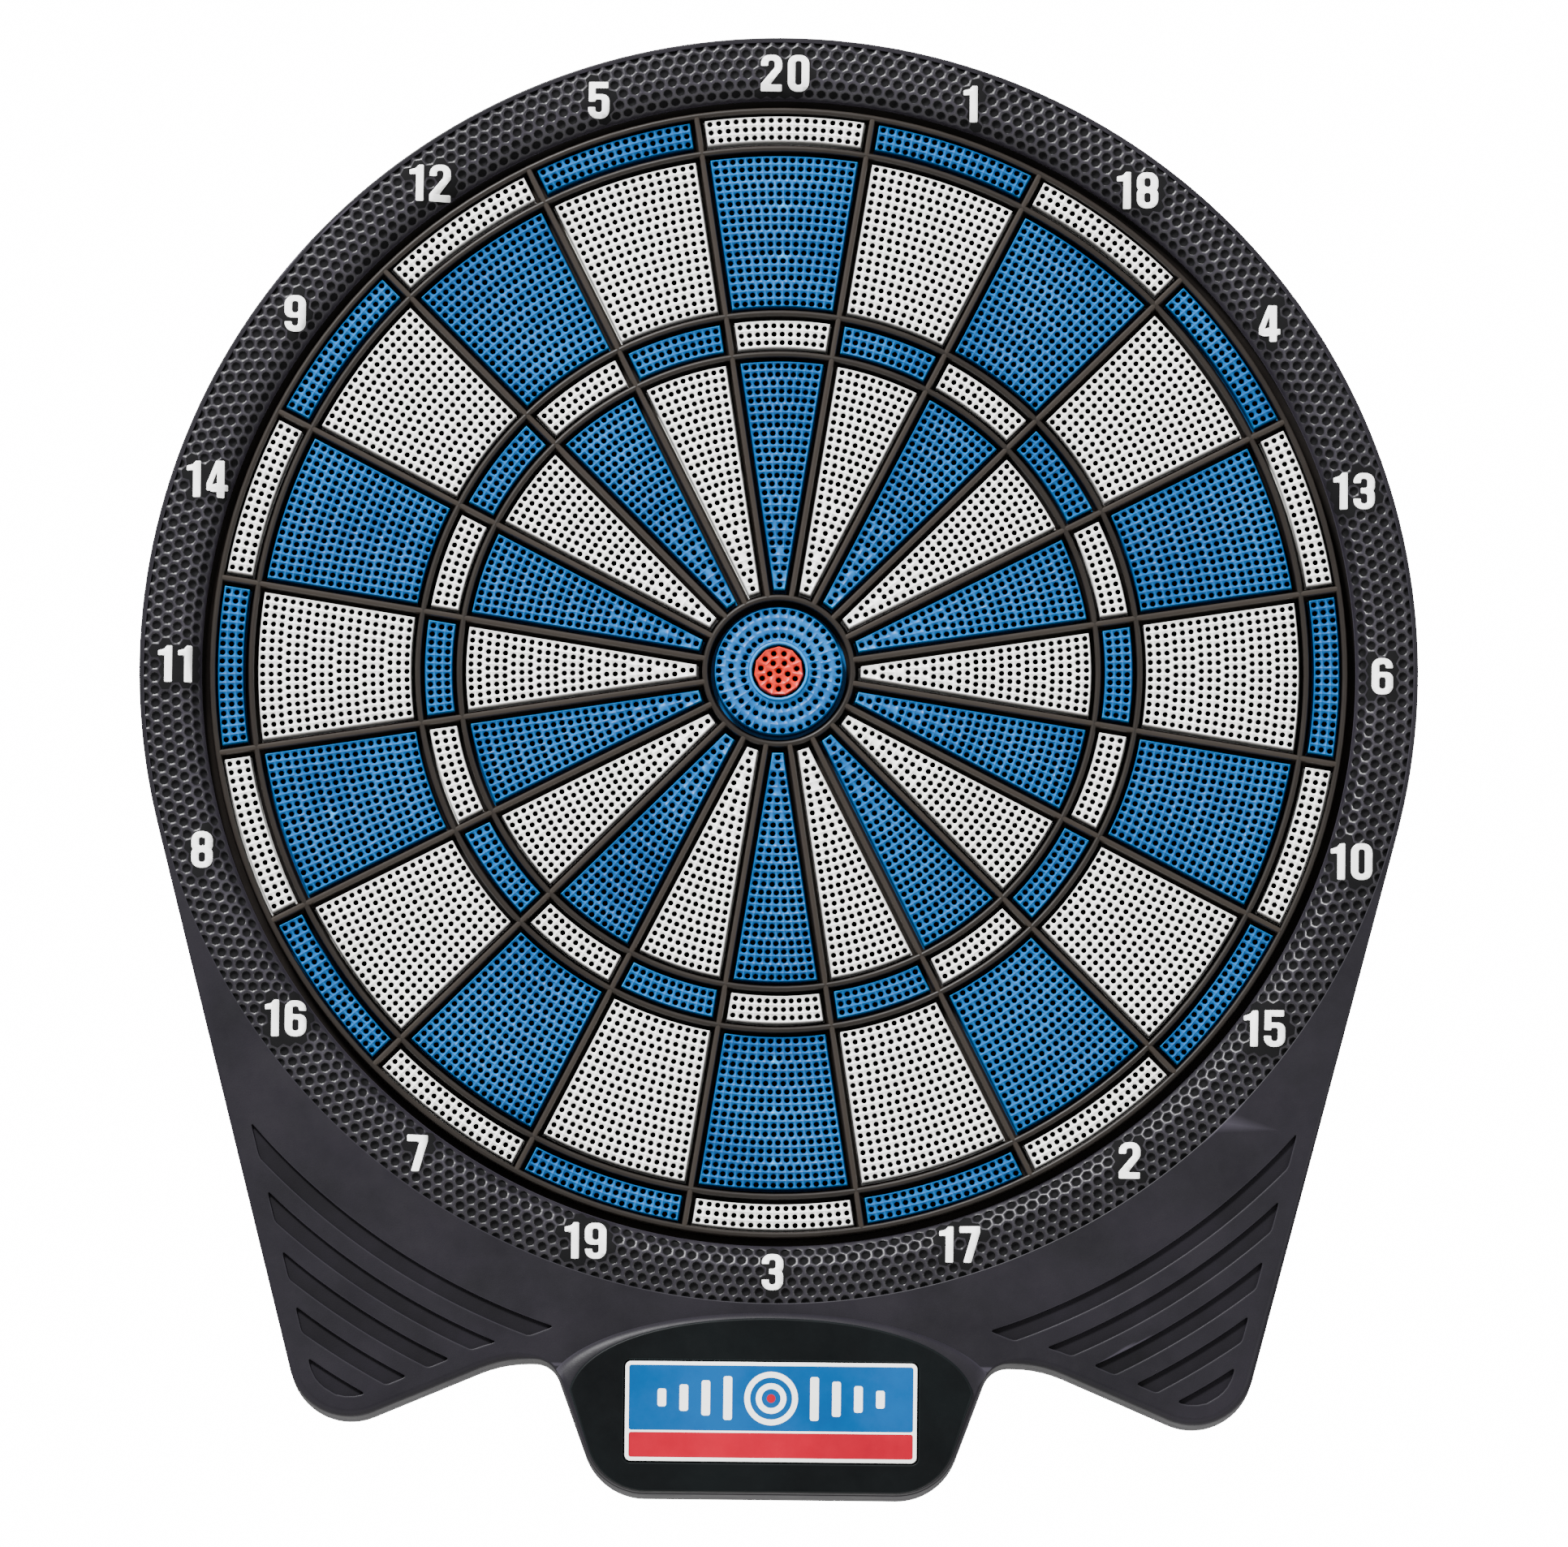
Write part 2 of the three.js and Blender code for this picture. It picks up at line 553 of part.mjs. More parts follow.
function batteryDoor() {
  const halfWidth = DOOR_OPENING.halfWidth - DOOR_CLEARANCE;
  const bottom = BAY.y - DOOR_OPENING.halfHeight + DOOR_CLEARANCE;
  const plate = block(-halfWidth, halfWidth, bottom, DOOR_HINGE.y, DOOR_BACK, DOOR_FRONT);
  const barrel = rodAlongX(DOOR_BARREL_RADIUS, halfWidth, DOOR_HINGE.y, DOOR_HINGE.depth);
  const pins = rodAlongX(DOOR_PIN.radius, DOOR_PIN.reach, DOOR_HINGE.y, DOOR_HINGE.depth);
  return plate.add(barrel).add(pins);
}

function switchBody() {
  return block(SWITCH.x - 9, SWITCH.x + 9, SWITCH.y - 4, SWITCH.y + 4, 4.6, 10);
}

function switchSlider() {
  const x = SWITCH.x - SWITCH.travel / 2;
  const halfLength = SWITCH.knobLength / 2;
  const halfWidth = SWITCH.knobWidth / 2;
  const knob = block(x - halfLength, x + halfLength, SWITCH.y - halfWidth, SWITCH.y + halfWidth, 0.5, 3.5);
  return knob.add(block(x - 5, x + 5, SWITCH.y - 3.4, SWITCH.y + 3.4, BACK_WALL + GAP, 4.3));
}

// ---------------------------------------------------------------- electronics

function stackSheet(back, front) {
  return disc(STACK_RADIUS, back, front, TARGET_SIDES);
}

function matrixTail() {
  const tail = block(-TAIL.halfWidth, TAIL.halfWidth, TAIL.from + GAP, TAIL.to, 0, FILM_THICKNESS);
  return turnedBy(tail, -TAIL.angle).translate([0, 0, BOARD_FRONT + GAP]);
}

function circuitBoard() {
  const { x, y, width, height, back, front } = CIRCUIT;
  const board = block(x - width / 2, x + width / 2, y - height / 2, y + height / 2, back, front);
  const chip = block(x - 4, x + 6, y - 14, y - 4, front - GAP, front + 1.4);
  const connector = block(x + 2, x + 24, y + 11, y + 16, front - GAP, front + 1.6);
  const radio = block(x - 26, x - 12, y - 8, y + 10, front - GAP, front + 1.2);
  return union([board, chip, connector, radio]);
}

function speaker() {
  const profile = [
    [0, SPEAKER.back + 1],
    [SPEAKER.radius - 3, SPEAKER.back],
    [SPEAKER.radius, SPEAKER.back],
    [SPEAKER.radius, SPEAKER.rim],
    [SPEAKER.magnet, SPEAKER.cone],
    [SPEAKER.magnet, SPEAKER.front],
    [0, SPEAKER.front],
  ];
  const geometry = new THREE.LatheGeometry(profile.map(([r, z]) => new THREE.Vector2(r, z)), 20);
  geometry.rotateX(Math.PI / 2);
  geometry.translate(SPEAKER.x, SPEAKER.y, 0);
  return solidOf(geometry);
}

function lead(points) {
  const path = new THREE.CatmullRomCurve3(points.map(([x, y, z]) => new THREE.Vector3(x, y, z)));
  const section = new THREE.Shape(circle(LEAD_RADIUS, 6));
  const geometry = new THREE.ExtrudeGeometry(section, { steps: 4 * points.length, extrudePath: path });
  return solidOf(geometry);
}

// ---------------------------------------------------------------- materials and assembly

function plastic(color, roughness) {
  return new THREE.MeshStandardMaterial({ color, roughness, metalness: 0 });
}

const MATERIALS = {
  casing: plastic(0x37333b, 0.55),
  catchRing: plastic(0x17161a, 0.6),
  spider: plastic(0x3a3632, 0.5),
  blue: plastic(0x2f93d6, 0.45),
  white: plastic(0xf2f2f2, 0.45),
  red: plastic(0xff4a33, 0.45),
  slate: plastic(0x1c2225, 0.35),
  badge: plastic(0x006bb6, 0.35),
  mat: plastic(0x8f8f8a, 0.8),
  film: plastic(0xd8d2b8, 0.3),
  board: plastic(0x8a6a48, 0.8),
  circuit: plastic(0x1f6b3a, 0.4),
  cell: plastic(0xb8bcc0, 0.35),
  lead: plastic(0x22232a, 0.5),
  metal: new THREE.MeshStandardMaterial({ color: 0xa9adb2, roughness: 0.35, metalness: 1 }),
};

const dartboard = new THREE.Group();
dartboard.rotation.x = Math.PI / 2;

function piece(name, solid, material) {
  const mesh = new THREE.Mesh(geometryOf(solid), material);
  mesh.name = name;
  dartboard.add(mesh);
}

piece('rear_casing', rearCasing(), MATERIALS.casing);
piece('front_casing', frontCasing(), MATERIALS.casing);
piece('catch_ring', catchRing(), MATERIALS.catchRing);
piece('spider', spider(), MATERIALS.spider);

// Clockwise from the top. The single beds of every other number are blue, starting with the 20.
const NUMBERS = [20, 1, 18, 4, 13, 6, 10, 15, 2, 17, 3, 19, 7, 16, 8, 11, 14, 9, 12, 5];
const keys = sectorKeys();
NUMBERS.forEach((number, i) => {
  const material = i % 2 === 0 ? MATERIALS.blue : MATERIALS.white;
  piece(`keys_${number}`, turnedBy(keys, i * SECTOR_ANGLE), material);
});
piece('outer_bull', outerBull(), MATERIALS.blue);
piece('inner_bull', innerBull(), MATERIALS.red);

piece('spring_mat', stackSheet(MAT_BACK, MAT_FRONT), MATERIALS.mat);
piece('matrix_film_upper', stackSheet(MAT_BACK - GAP - FILM_THICKNESS, MAT_BACK - GAP), MATERIALS.film);
piece('matrix_film_lower', stackSheet(BOARD_FRONT + GAP, BOARD_FRONT + GAP + FILM_THICKNESS), MATERIALS.film);
piece('backing_board', stackSheet(BOARD_BACK, BOARD_FRONT), MATERIALS.board);
piece('matrix_tail', matrixTail(), MATERIALS.film);
piece('circuit_board', circuitBoard(), MATERIALS.circuit);
piece('speaker', speaker(), MATERIALS.metal);

for (let i = 0; i < CELL_COUNT; i += 1) {
  piece(`battery_${i + 1}`, cell(i), MATERIALS.cell);
}
piece('contact_strip_left', contactStrip(-1), MATERIALS.metal);
piece('contact_strip_right', contactStrip(1), MATERIALS.metal);
piece('battery_door', batteryDoor(), MATERIALS.casing);
piece('switch_body', switchBody(), MATERIALS.slate);
piece('switch_slider', switchSlider(), MATERIALS.slate);
piece('pod_fascia', podFascia(), MATERIALS.slate);
piece('badge_plate', badgePlate(), MATERIALS.badge);

const batteryRoute = [[-34.6, -246, 8], [-55, -246, 7], [-76, -228, 9], [-91.6, -222, 6.4]];
const speakerRoute = [[-91.6, -204, 6.4], [-70, -202, 9], [0, -211, 9], [70, -202, 9], [106, -206, 6.6]];
piece('battery_lead', lead(batteryRoute), MATERIALS.lead);
piece('speaker_lead', lead(speakerRoute), MATERIALS.lead);

caseScrewPlaces().forEach(([x, y], i) => {
  piece(`case_screw_${i + 1}`, screw(CASE_SCREW, x, y), MATERIALS.metal);
});
spiderScrewPlaces().forEach(([x, y], i) => {
  piece(`spider_screw_${i + 1}`, screw(SPIDER_SCREW, x, y), MATERIALS.metal);
});

export default dartboard;
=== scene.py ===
# Wall-hung electronic dartboard: its visible pieces and finishes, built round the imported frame.
#
# Outlines are drawn in millimetres as the board lies on a bench, face up: x to the right, y towards the
# "20", and depth as the distance from the wall. A bench point (x, y, depth) stands at (x, -depth, y).

import math

import bmesh
import bpy
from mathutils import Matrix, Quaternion, Vector
from mathutils.bvhtree import BVHTree
from mathutils.geometry import tessellate_polygon


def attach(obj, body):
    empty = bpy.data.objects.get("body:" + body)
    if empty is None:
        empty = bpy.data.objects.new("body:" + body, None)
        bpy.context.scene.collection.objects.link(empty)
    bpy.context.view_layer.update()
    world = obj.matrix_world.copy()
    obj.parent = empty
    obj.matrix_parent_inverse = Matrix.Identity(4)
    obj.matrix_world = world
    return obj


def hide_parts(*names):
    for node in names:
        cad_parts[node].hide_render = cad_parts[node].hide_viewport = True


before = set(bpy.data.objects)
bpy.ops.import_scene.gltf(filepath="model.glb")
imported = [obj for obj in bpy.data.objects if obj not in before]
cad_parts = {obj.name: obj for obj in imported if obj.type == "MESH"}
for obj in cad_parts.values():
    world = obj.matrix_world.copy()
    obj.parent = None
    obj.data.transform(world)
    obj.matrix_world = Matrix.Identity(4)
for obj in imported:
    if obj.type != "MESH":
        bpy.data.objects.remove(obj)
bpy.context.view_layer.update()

MM = 0.001
TURN = 2 * math.pi

# ---------------------------------------------------------------- sizes of the board, in millimetres

NUMBERS = [20, 1, 18, 4, 13, 6, 10, 15, 2, 17, 3, 19, 7, 16, 8, 11, 14, 9, 12, 5]
HALF_SECTOR = math.radians(9)

# Layers, as distances from the wall
BACK_WALL = 2.2
SPLIT_LINE = 12
CASING_GAP = 0.3
KEY_BACK = 13.5
FLANGE_FRONT = 15.5
KEY_FRONT = 25
SHELF_BACK = 20
SHELF_FRONT = 22.5
FACE_FRONT = 27
POD_FRONT = 29.5
FASCIA_FRONT = 32
POCKET_LIP = 0.25

# Keys: inner and outer radius, and the rows of holes as (radius, number of holes). Between holes the
# face is a low pillow, which falls towards each hole's dished mouth.
KEY_SIDE_INSET = 2.6
KEY_EDGE = 0.35
KEY_SHOULDER_DROPS = (0.8, 0.42)
FLANGE_GROWTH = 1.9
HOLE_RADIUS = 1
HOLE_MOUTH_RADIUS = 1.27
HOLE_SIDES = 8
HOLE_DEPTH = 9
HOLE_EDGE_MARGIN = 1.7
MOUTH_DROP = 0.45
THROAT_DROP = 0.85
PILLOW_DEPTH = 0.34
PILLOW_REACH = 2.05
PILLOW_RUN = 0.8
MERGE_GAP = 0.4
INNER_COUNTS = [1, 1, 2, 2, 2, 3, 3, 3, 4, 4, 4, 5, 5, 6, 6, 6, 7, 7, 7, 8, 8, 8, 9, 9, 9, 10, 10]
OUTER_COUNTS = [12, 12, 12, 13, 13, 13, 14, 14, 14, 15, 15, 15, 16, 16, 16, 17, 17, 17]
KEYS = {
    "inner": (28.7, 108.7, [(30.3 + 2.955 * i, n) for i, n in enumerate(INNER_COUNTS)]),
    "triple": (113.6, 123.1, [(115.4, 11), (118.35, 11), (121.3, 11)]),
    "outer": (128, 181, [(129.4 + 2.953 * i, n) for i, n in enumerate(OUTER_COUNTS)]),
    "double": (186.3, 195.1, [(187.7, 18), (190.7, 18), (193.7, 18)]),
}

# Bulls: rows of holes, the edges between rows, and the sides as (radius, depth)
OUTER_BULL_ROWS = [(12.5, 29), (16.7, 32), (20.9, 42)]
OUTER_BULL_EDGES = [10.7, 14.6, 18.8, 22]
OUTER_BULL_COLLAR = [(9.4, KEY_BACK), (9.4, 25.2), (9.6, 25.6), (10, 25.7), (10.35, 25.45), (10.5, 24.9)]
OUTER_BULL_SKIRT = [(25.4, KEY_BACK), (25.4, FLANGE_FRONT), (22.3, FLANGE_FRONT), (22.3, 24.3), (22.2, 24.65)]
INNER_BULL_ROWS = [(3.3, 5), (6.3, 11)]
INNER_BULL_EDGES = [1.85, 4.8, 8.3]
INNER_BULL_FRONT = KEY_FRONT + 0.4
INNER_BULL_SIDE = [(8.6, KEY_BACK), (8.6, INNER_BULL_FRONT - 0.7), (8.5, INNER_BULL_FRONT - 0.4)]

# Web of bars
BAR_RADII = [25.7, 111.2, 125.6, 183.6, 197]
BAR_FRONT = 26.2
BAR_BACK = 15.8
BAR_FOOT = 2.1
RIM_BAR_FOOT = 1.2
BAR_FOOT_FRONT = 19.5
BAR_RIDGE = 0.95
BAR_OVERLAP = 0.4
WEB_FLANGE = [(196.5, 17.2), (209.5, 17.2), (209.5, 19.7), (196.5, 19.7)]
WEB_STEPS = 160

# Catch ring: rows of dimples set like a honeycomb, measured along its surface from under the casing
CATCH_START = 221.8
CATCH_OUTER = 220.4
CATCH_INNER = 200.8
CATCH_BACK = 22.8
CATCH_EDGE_BACKS = (24.5, 25.5)
CATCH_SKIRT = (203.7, 21.2)
CROWN_RADIUS = 209
CROWN_FRONT = 27.8
OUTER_FALL = {"drop": 0.9, "over": 11.4, "power": 1.5}
INNER_ROLL = {"drop": 4.5, "over": 8.2, "power": 1.8}
DIMPLE_COLUMNS = 300
DIMPLE_ROWS = 6
DIMPLE_START = 1.05
DIMPLE_ROW_PITCH = 3.65
DIMPLE_RADIUS = 1.6
DIMPLE_DEPTH = 1.15
DIMPLE_SIDES = 10
DIMPLE_WALL = [(1, 0.15), (0.7, 0.75)]

# Numbers, printed on the catch ring, with a smooth halo round each
NUMBER_RADIUS = 210
NUMBER_HEIGHT = 12.7
NUMBER_LIFT = 0.16
NUMBER_THICKNESS = 0.5
NUMBER_GRID = 2
HALO = 1.7

# Casing outline
RIM_RADIUS = 222.5
RIM_STEPS = 140
SEAT_RADIUS = 220.8
SEAT_SIDES = 240
SHELF_RADIUS = 204
SHELF_ROOT = 219
WALL = 2.2
FIN_SIDE_ANGLE = math.radians(14.4)
FIN_TIP = (160.5, -269.7, 21.3)
NOTCH_OUTER = (92.9, -241, 44)
NOTCH_INNER = (75.9, -241, 9)
POD_CORNER = (58.9, -287.5, 22)

# Grooves in the fins: arcs about the bull
GROOVE_COUNT = 5
GROOVE_FIRST_RADIUS = 241.8
GROOVE_PITCH = 12.05
GROOVE_WIDTH = 5.9
GROOVE_DEPTH = 1.4
GROOVE_INSET = 7
GROOVE_MIDDLE = math.radians(-59.5)
GROOVE_CORNER = 0.9
GROOVE_STATIONS = [0, 0.06, 0.2, 0.5, 0.8, 0.94, 1]
GROOVE_FOOT = (140.2, -254.7)
GROOVE_FOOT_SLOPE = (254.7 - 230.2) / (140.2 - 76.9)

# Battery bay, door, switch, hanging slots and case screws. A half is half a width and half a height.
BAY_Y = -246
BAY_HALF = (29.5, 23.5)
BAY_FRONT = 17.9
BAY_BOX_HALF = (31.3, 25.3)
BAY_COLLAR_HALF = (34, 28)
BAY_COLLAR_HEIGHT = 2
BAY_CALM_HALF = (34.2, 26.6)
PIN_NOTCH = {"reach": 33.4, "low": 23.6, "high": 25.6, "draft": 0.01}
DOOR_HALF = (32, 25.8)
DOOR_GAP = 0.4
DOOR_DEPTHS = (0.3, 1.9)
DOOR_GRIPS = {"count": 6, "first": 4, "pitch": 2.4, "depth": 0.5}
DOOR_PIN = {"root": 0.9, "reach": 33, "radius": 0.6}
KEYHOLE = {"x": 90, "y": 120, "head": 4.5, "slot": 2.5, "rise": 9}
SPEAKER = (125, -212, 15)
SPEAKER_SLOTS = {"count": 5, "pitch": 5, "half": 0.9}
SWITCH = (58, -246)
SWITCH_OPENING = (4.3, 2.6, 0.8)
SWITCH_OFF = -2
KNOB_RIB_PITCH = 1.35
CASE_SCREW_CIRCLE = 214
SCREW_WELL = (3.6, 3)
SCREW_BOSS_RADIUS = 4.4
SCREW_HEAD_TOP = 0.95
SCREW_HEAD = [(2.5, SCREW_HEAD_TOP), (2.95, 1.1), (3.2, 1.5), (3.2, 2.6)]
SCREW_SHANK = [(1.4, 2.6), (1.4, 18.5), (0.5, 19.8)]
CROSS_ARM = 1.9
CROSS_ROOT = 0.5
CROSS_FLOOR = 1.9
CROSS_TAPER = 0.55

# Badge
BADGE_Y = -259
BADGE_HALF = (50.5, 17.3)
BADGE_BAND = (-275, -266.3)
BADGE_LINE = 1.3
BADGE_FIELD_GAP = 0.7
BADGE_RINGS = (9.3, 7.3, 5.3, 3.3, 1.5)
BADGE_BARS = {"count": 4, "first": 15, "pitch": 7.6, "half": 1.5, "tall": 7.6, "step": 1.5}


# ---------------------------------------------------------------- outlines

def rounded(corners, step=math.radians(5)):
    """A closed line through corners (x, y, fillet), each rounded with its own fillet radius."""
    points = []
    for i, (x, y, fillet) in enumerate(corners):
        here = Vector((x, y))
        if not fillet:
            points.append((x, y))
            continue
        inward = (Vector(corners[i - 1][:2]) - here).normalized()
        outward = (Vector(corners[(i + 1) % len(corners)][:2]) - here).normalized()
        half = math.acos(max(-1, min(1, inward.dot(outward)))) / 2
        centre = here + (inward + outward).normalized() * (fillet / math.sin(half))
        start = here + inward * (fillet / math.tan(half)) - centre
        end = here + outward * (fillet / math.tan(half)) - centre
        first = math.atan2(start.y, start.x)
        sweep = (math.atan2(end.y, end.x) - first + math.pi) % TURN - math.pi
        steps = max(2, round(abs(sweep) / step))
        for k in range(steps + 1):
            angle = first + sweep * k / steps
            points.append((centre.x + fillet * math.cos(angle), centre.y + fillet * math.sin(angle)))
    return points


def mirrored(points):
    return [(-p[0], *p[1:]) for p in reversed(points)]


def lower_corners(inset):
    """The corners below the rim on the right side, moved in by an inset along their bisectors."""
    side = (RIM_RADIUS * math.cos(FIN_SIDE_ANGLE), -RIM_RADIUS * math.sin(FIN_SIDE_ANGLE), 0)
    opposite = (-POD_CORNER[0], *POD_CORNER[1:])
    path = [side, FIN_TIP, NOTCH_OUTER, NOTCH_INNER, POD_CORNER, opposite]
    result = []
    for i in range(1, 5):
        here = Vector(path[i][:2])
        arrive = (here - Vector(path[i - 1][:2])).normalized()
        leave = (Vector(path[i + 1][:2]) - here).normalized()
        bisector = Vector((arrive.y + leave.y, -arrive.x - leave.x))
        shift = bisector * (2 * inset / bisector.length_squared)
        turn = arrive.x * leave.y - arrive.y * leave.x
        fillet = max(1.5, path[i][2] + (inset if turn > 0 else -inset))
        result.append((here.x + shift.x, here.y + shift.y, fillet))
    return result


def casing_outline(inset):
    """The casing seen from the front, anticlockwise from the right-hand fin side over the top."""
    radius = RIM_RADIUS - inset
    sweep = math.pi + 2 * FIN_SIDE_ANGLE
    arc = []
    for k in range(RIM_STEPS + 1):
        angle = -FIN_SIDE_ANGLE + sweep * k / RIM_STEPS
        arc.append((radius * math.cos(angle), radius * math.sin(angle), 0))
    lower = lower_corners(inset)
    return rounded(arc + [(-x, y, f) for x, y, f in lower] + lower[::-1])


def bezier(a, b, c, d, steps):
    points = []
    for k in range(steps + 1):
        t = k / steps
        s = 1 - t
        weights = (s ** 3, 3 * s * s * t, 3 * s * t * t, t ** 3)
        points.append(tuple(sum(w * p[i] for w, p in zip(weights, (a, b, c, d))) for i in (0, 1)))
    return points


def pod_outline(inset, shoulder, lift, reach, top):
    """The pod: an arch over the top, and the casing's own sides and corners below.

    The arch leaves each shoulder along a lift, and meets the middle from a sideways reach.
    """
    half = bezier(shoulder, (shoulder[0] - lift[0], shoulder[1] + lift[1]), (reach, top), (0, top), 24)
    corner = lower_corners(inset)[3]
    base = rounded([(-shoulder[0], shoulder[1], 0), (-corner[0], *corner[1:]), corner, (*shoulder, 0)])
    return half + [(-x, y) for x, y in half[-2::-1]] + base[1:-1]


def fascia_outline():
    return pod_outline(inset=0.7, shoulder=(69.9, -252), lift=(3.6, 16), reach=38, top=-226.4)


def pod_foot_outline():
    return pod_outline(inset=0.35, shoulder=(74.6, -244.5), lift=(8.5, 10.5), reach=40, top=-224.2)


def circle(radius, sides, x=0, y=0):
    angles = [TURN * k / sides for k in range(sides)]
    return [(x + radius * math.cos(angle), y + radius * math.sin(angle)) for angle in angles]


def polar(radius, bearing):
    """A bench point from a radius and a clockwise bearing from the top."""
    return radius * math.sin(bearing), radius * math.cos(bearing)


def box_outline(x, y, half_x, half_y, fillet):
    corners = [(1, 1), (-1, 1), (-1, -1), (1, -1)]
    return rounded([(x + sx * half_x, y + sy * half_y, fillet) for sx, sy in corners], math.radians(15))


def keyhole_outline(x):
    """A round hole with a narrower slot above it."""
    head, slot, y = KEYHOLE["head"], KEYHOLE["slot"], KEYHOLE["y"]
    start = math.acos(slot / head) + math.pi - 2 * math.acos(slot / head)
    sweep = TURN - (math.pi - 2 * math.acos(slot / head))
    points = []
    for k in range(25):
        angle = start + sweep * k / 24
        points.append((x + head * math.cos(angle), y + head * math.sin(angle)))
    for k in range(9):
        angle = math.pi * k / 8
        points.append((x + slot * math.cos(angle), y + KEYHOLE["rise"] + slot * math.sin(angle)))
    return points


def inset_outline(points, widths):
    """Moves every point of an anticlockwise line inward, along the line's own normal there."""
    if not isinstance(widths, list):
        widths = [widths] * len(points)
    result = []
    for i, (x, y) in enumerate(points):
        before, after = points[i - 1], points[(i + 1) % len(points)]
        along = Vector((after[0] - before[0], after[1] - before[1])).normalized()
        result.append((x - along.y * widths[i], y + along.x * widths[i]))
    return result


def inside(x, y, outline):
    hit = False
    for (x0, y0), (x1, y1) in zip(outline, outline[1:] + outline[:1]):
        if (y0 > y) != (y1 > y) and x < (x1 - x0) * (y - y0) / (y1 - y0) + x0:
            hit = not hit
    return hit


def smoothstep(low, high, value):
    t = max(0, min(1, (value - low) / (high - low)))
    return t * t * (3 - 2 * t)


# ---------------------------------------------------------------- meshes

class Shape:
    """The points and faces of one piece, in bench millimetres. Closed lines run anticlockwise."""

    def __init__(self):
        self.points = []
        self.faces = []
        self.finishes = []

    def point(self, x, y, depth):
        self.points.append((x, y, depth))
        return len(self.points) - 1

    def line(self, outline, depths):
        if not isinstance(depths, list):
            depths = [depths] * len(outline)
        return [self.point(x, y, depth) for (x, y), depth in zip(outline, depths)]

    def face(self, corners, finish=0):
        self.faces.append(tuple(corners))
        self.finishes.append(finish)

    def band(self, lower, upper, finish=0):
        """Joins two lines. The faces look away from the middle when upper is in front of lower."""
        for i in range(len(lower)):
            j = (i + 1) % len(lower)
            self.face((lower[i], lower[j], upper[j], upper[i]), finish)

    def bands(self, lines, finish=0):
        for lower, upper in zip(lines, lines[1:]):
            self.band(lower, upper, finish)

    def fill(self, outer, holes=(), front=True, finish=0):
        """A flat face inside one line and outside the others, looking to the front or to the wall.

        A triangle too thin to have a side of its own turns as the others do.
        """
        rings = [outer, *holes]
        index = [i for ring in rings for i in ring]
        flat = [[Vector((*self.points[i][:2], 0)) for i in ring] for ring in rings]
        corners, areas = [], []
        for triangle in tessellate_polygon(flat):
            corners.append([index[i] for i in triangle])
            (ax, ay, _), (bx, by, _), (cx, cy, _) = (self.points[i] for i in corners[-1])
            areas.append((bx - ax) * (cy - ay) - (by - ay) * (cx - ax))
        usual = sum(areas)
        for (a, b, c), area in zip(corners, areas):
            turns_left = (area if abs(area) > 1e-6 else usual) > 0
            self.face((a, b, c) if turns_left == front else (a, c, b), finish)

    def star(self, outer, inner, centre):
        """Joins two lines with different numbers of points, both seen whole from a centre inside them."""
        def bearings(ring, first):
            result = []
            for i in ring:
                x, y, _ = self.points[i]
                bearing = math.atan2(y - centre[1], x - centre[0])
                floor = result[-1] if result else first
                result.append(floor + (bearing - floor) % TURN)
            return result

        outer_at = bearings(outer, -math.pi)

        def off_the_start(k):
            x, y, _ = self.points[inner[k]]
            return abs((math.atan2(y - centre[1], x - centre[0]) - outer_at[0] + math.pi) % TURN - math.pi)

        start = min(range(len(inner)), key=off_the_start)
        inner = inner[start:] + inner[:start]
        inner_at = bearings(inner, outer_at[0] - 1.5 * math.pi / len(inner))
        outer_at.append(outer_at[0] + TURN)
        inner_at.append(inner_at[0] + TURN)
        i = j = 0
        while i < len(outer) or j < len(inner):
            if j == len(inner) or (i < len(outer) and outer_at[i + 1] <= inner_at[j + 1]):
                self.face((outer[i], outer[(i + 1) % len(outer)], inner[j % len(inner)]))
                i += 1
            else:
                self.face((outer[i % len(outer)], inner[(j + 1) % len(inner)], inner[j]))
                j += 1

    def mesh(self, name, turn=0):
        """The mesh in scene metres, turned clockwise about the bull."""
        c, s = math.cos(turn), math.sin(turn)
        data = bpy.data.meshes.new(name)
        places = [((x * c + y * s) * MM, -depth * MM, (y * c - x * s) * MM) for x, y, depth in self.points]
        data.from_pydata(places, [], self.faces)
        data.polygons.foreach_set("material_index", self.finishes)
        return data


def slab(shape, outline, back, front, rounding, steps, pockets=()):
    """A flat closed piece with rounded edges. A pocket in its front is (outline, depth of its floor)."""
    lines = [shape.line(inset_outline(outline, rounding + 0.3), back)]
    for k in range(steps + 1):
        angle = math.pi / 2 * k / steps
        inset = rounding * (1 - math.sin(angle))
        lines.append(shape.line(inset_outline(outline, inset), back + rounding * (1 - math.cos(angle))))
    for k in range(steps + 1):
        angle = math.pi / 2 * k / steps
        inset = rounding * (1 - math.cos(angle))
        lines.append(shape.line(inset_outline(outline, inset), front - rounding + rounding * math.sin(angle)))
    lines.append(shape.line(inset_outline(outline, rounding + 0.3), front))
    shape.bands(lines)
    shape.fill(lines[-1], [front_pocket(shape, hole, front, depth) for hole, depth in pockets])
    shape.fill(lines[0], front=False)


def kept_flat(shape, outline, face, front=True, reach=1.2):
    """Lines on a flat face round a hollow, so that its rounded lip doesn't shade the face beyond them.

    Returns the outermost line, which is cut from the face, and the innermost, which is the mouth.
    """
    spreads = (reach, 0.4 * reach, 0)
    lines = [shape.line(inset_outline(outline, -POCKET_LIP - spread), face) for spread in spreads]
    shape.bands(lines if front else lines[::-1])
    return lines[0], lines[-1]


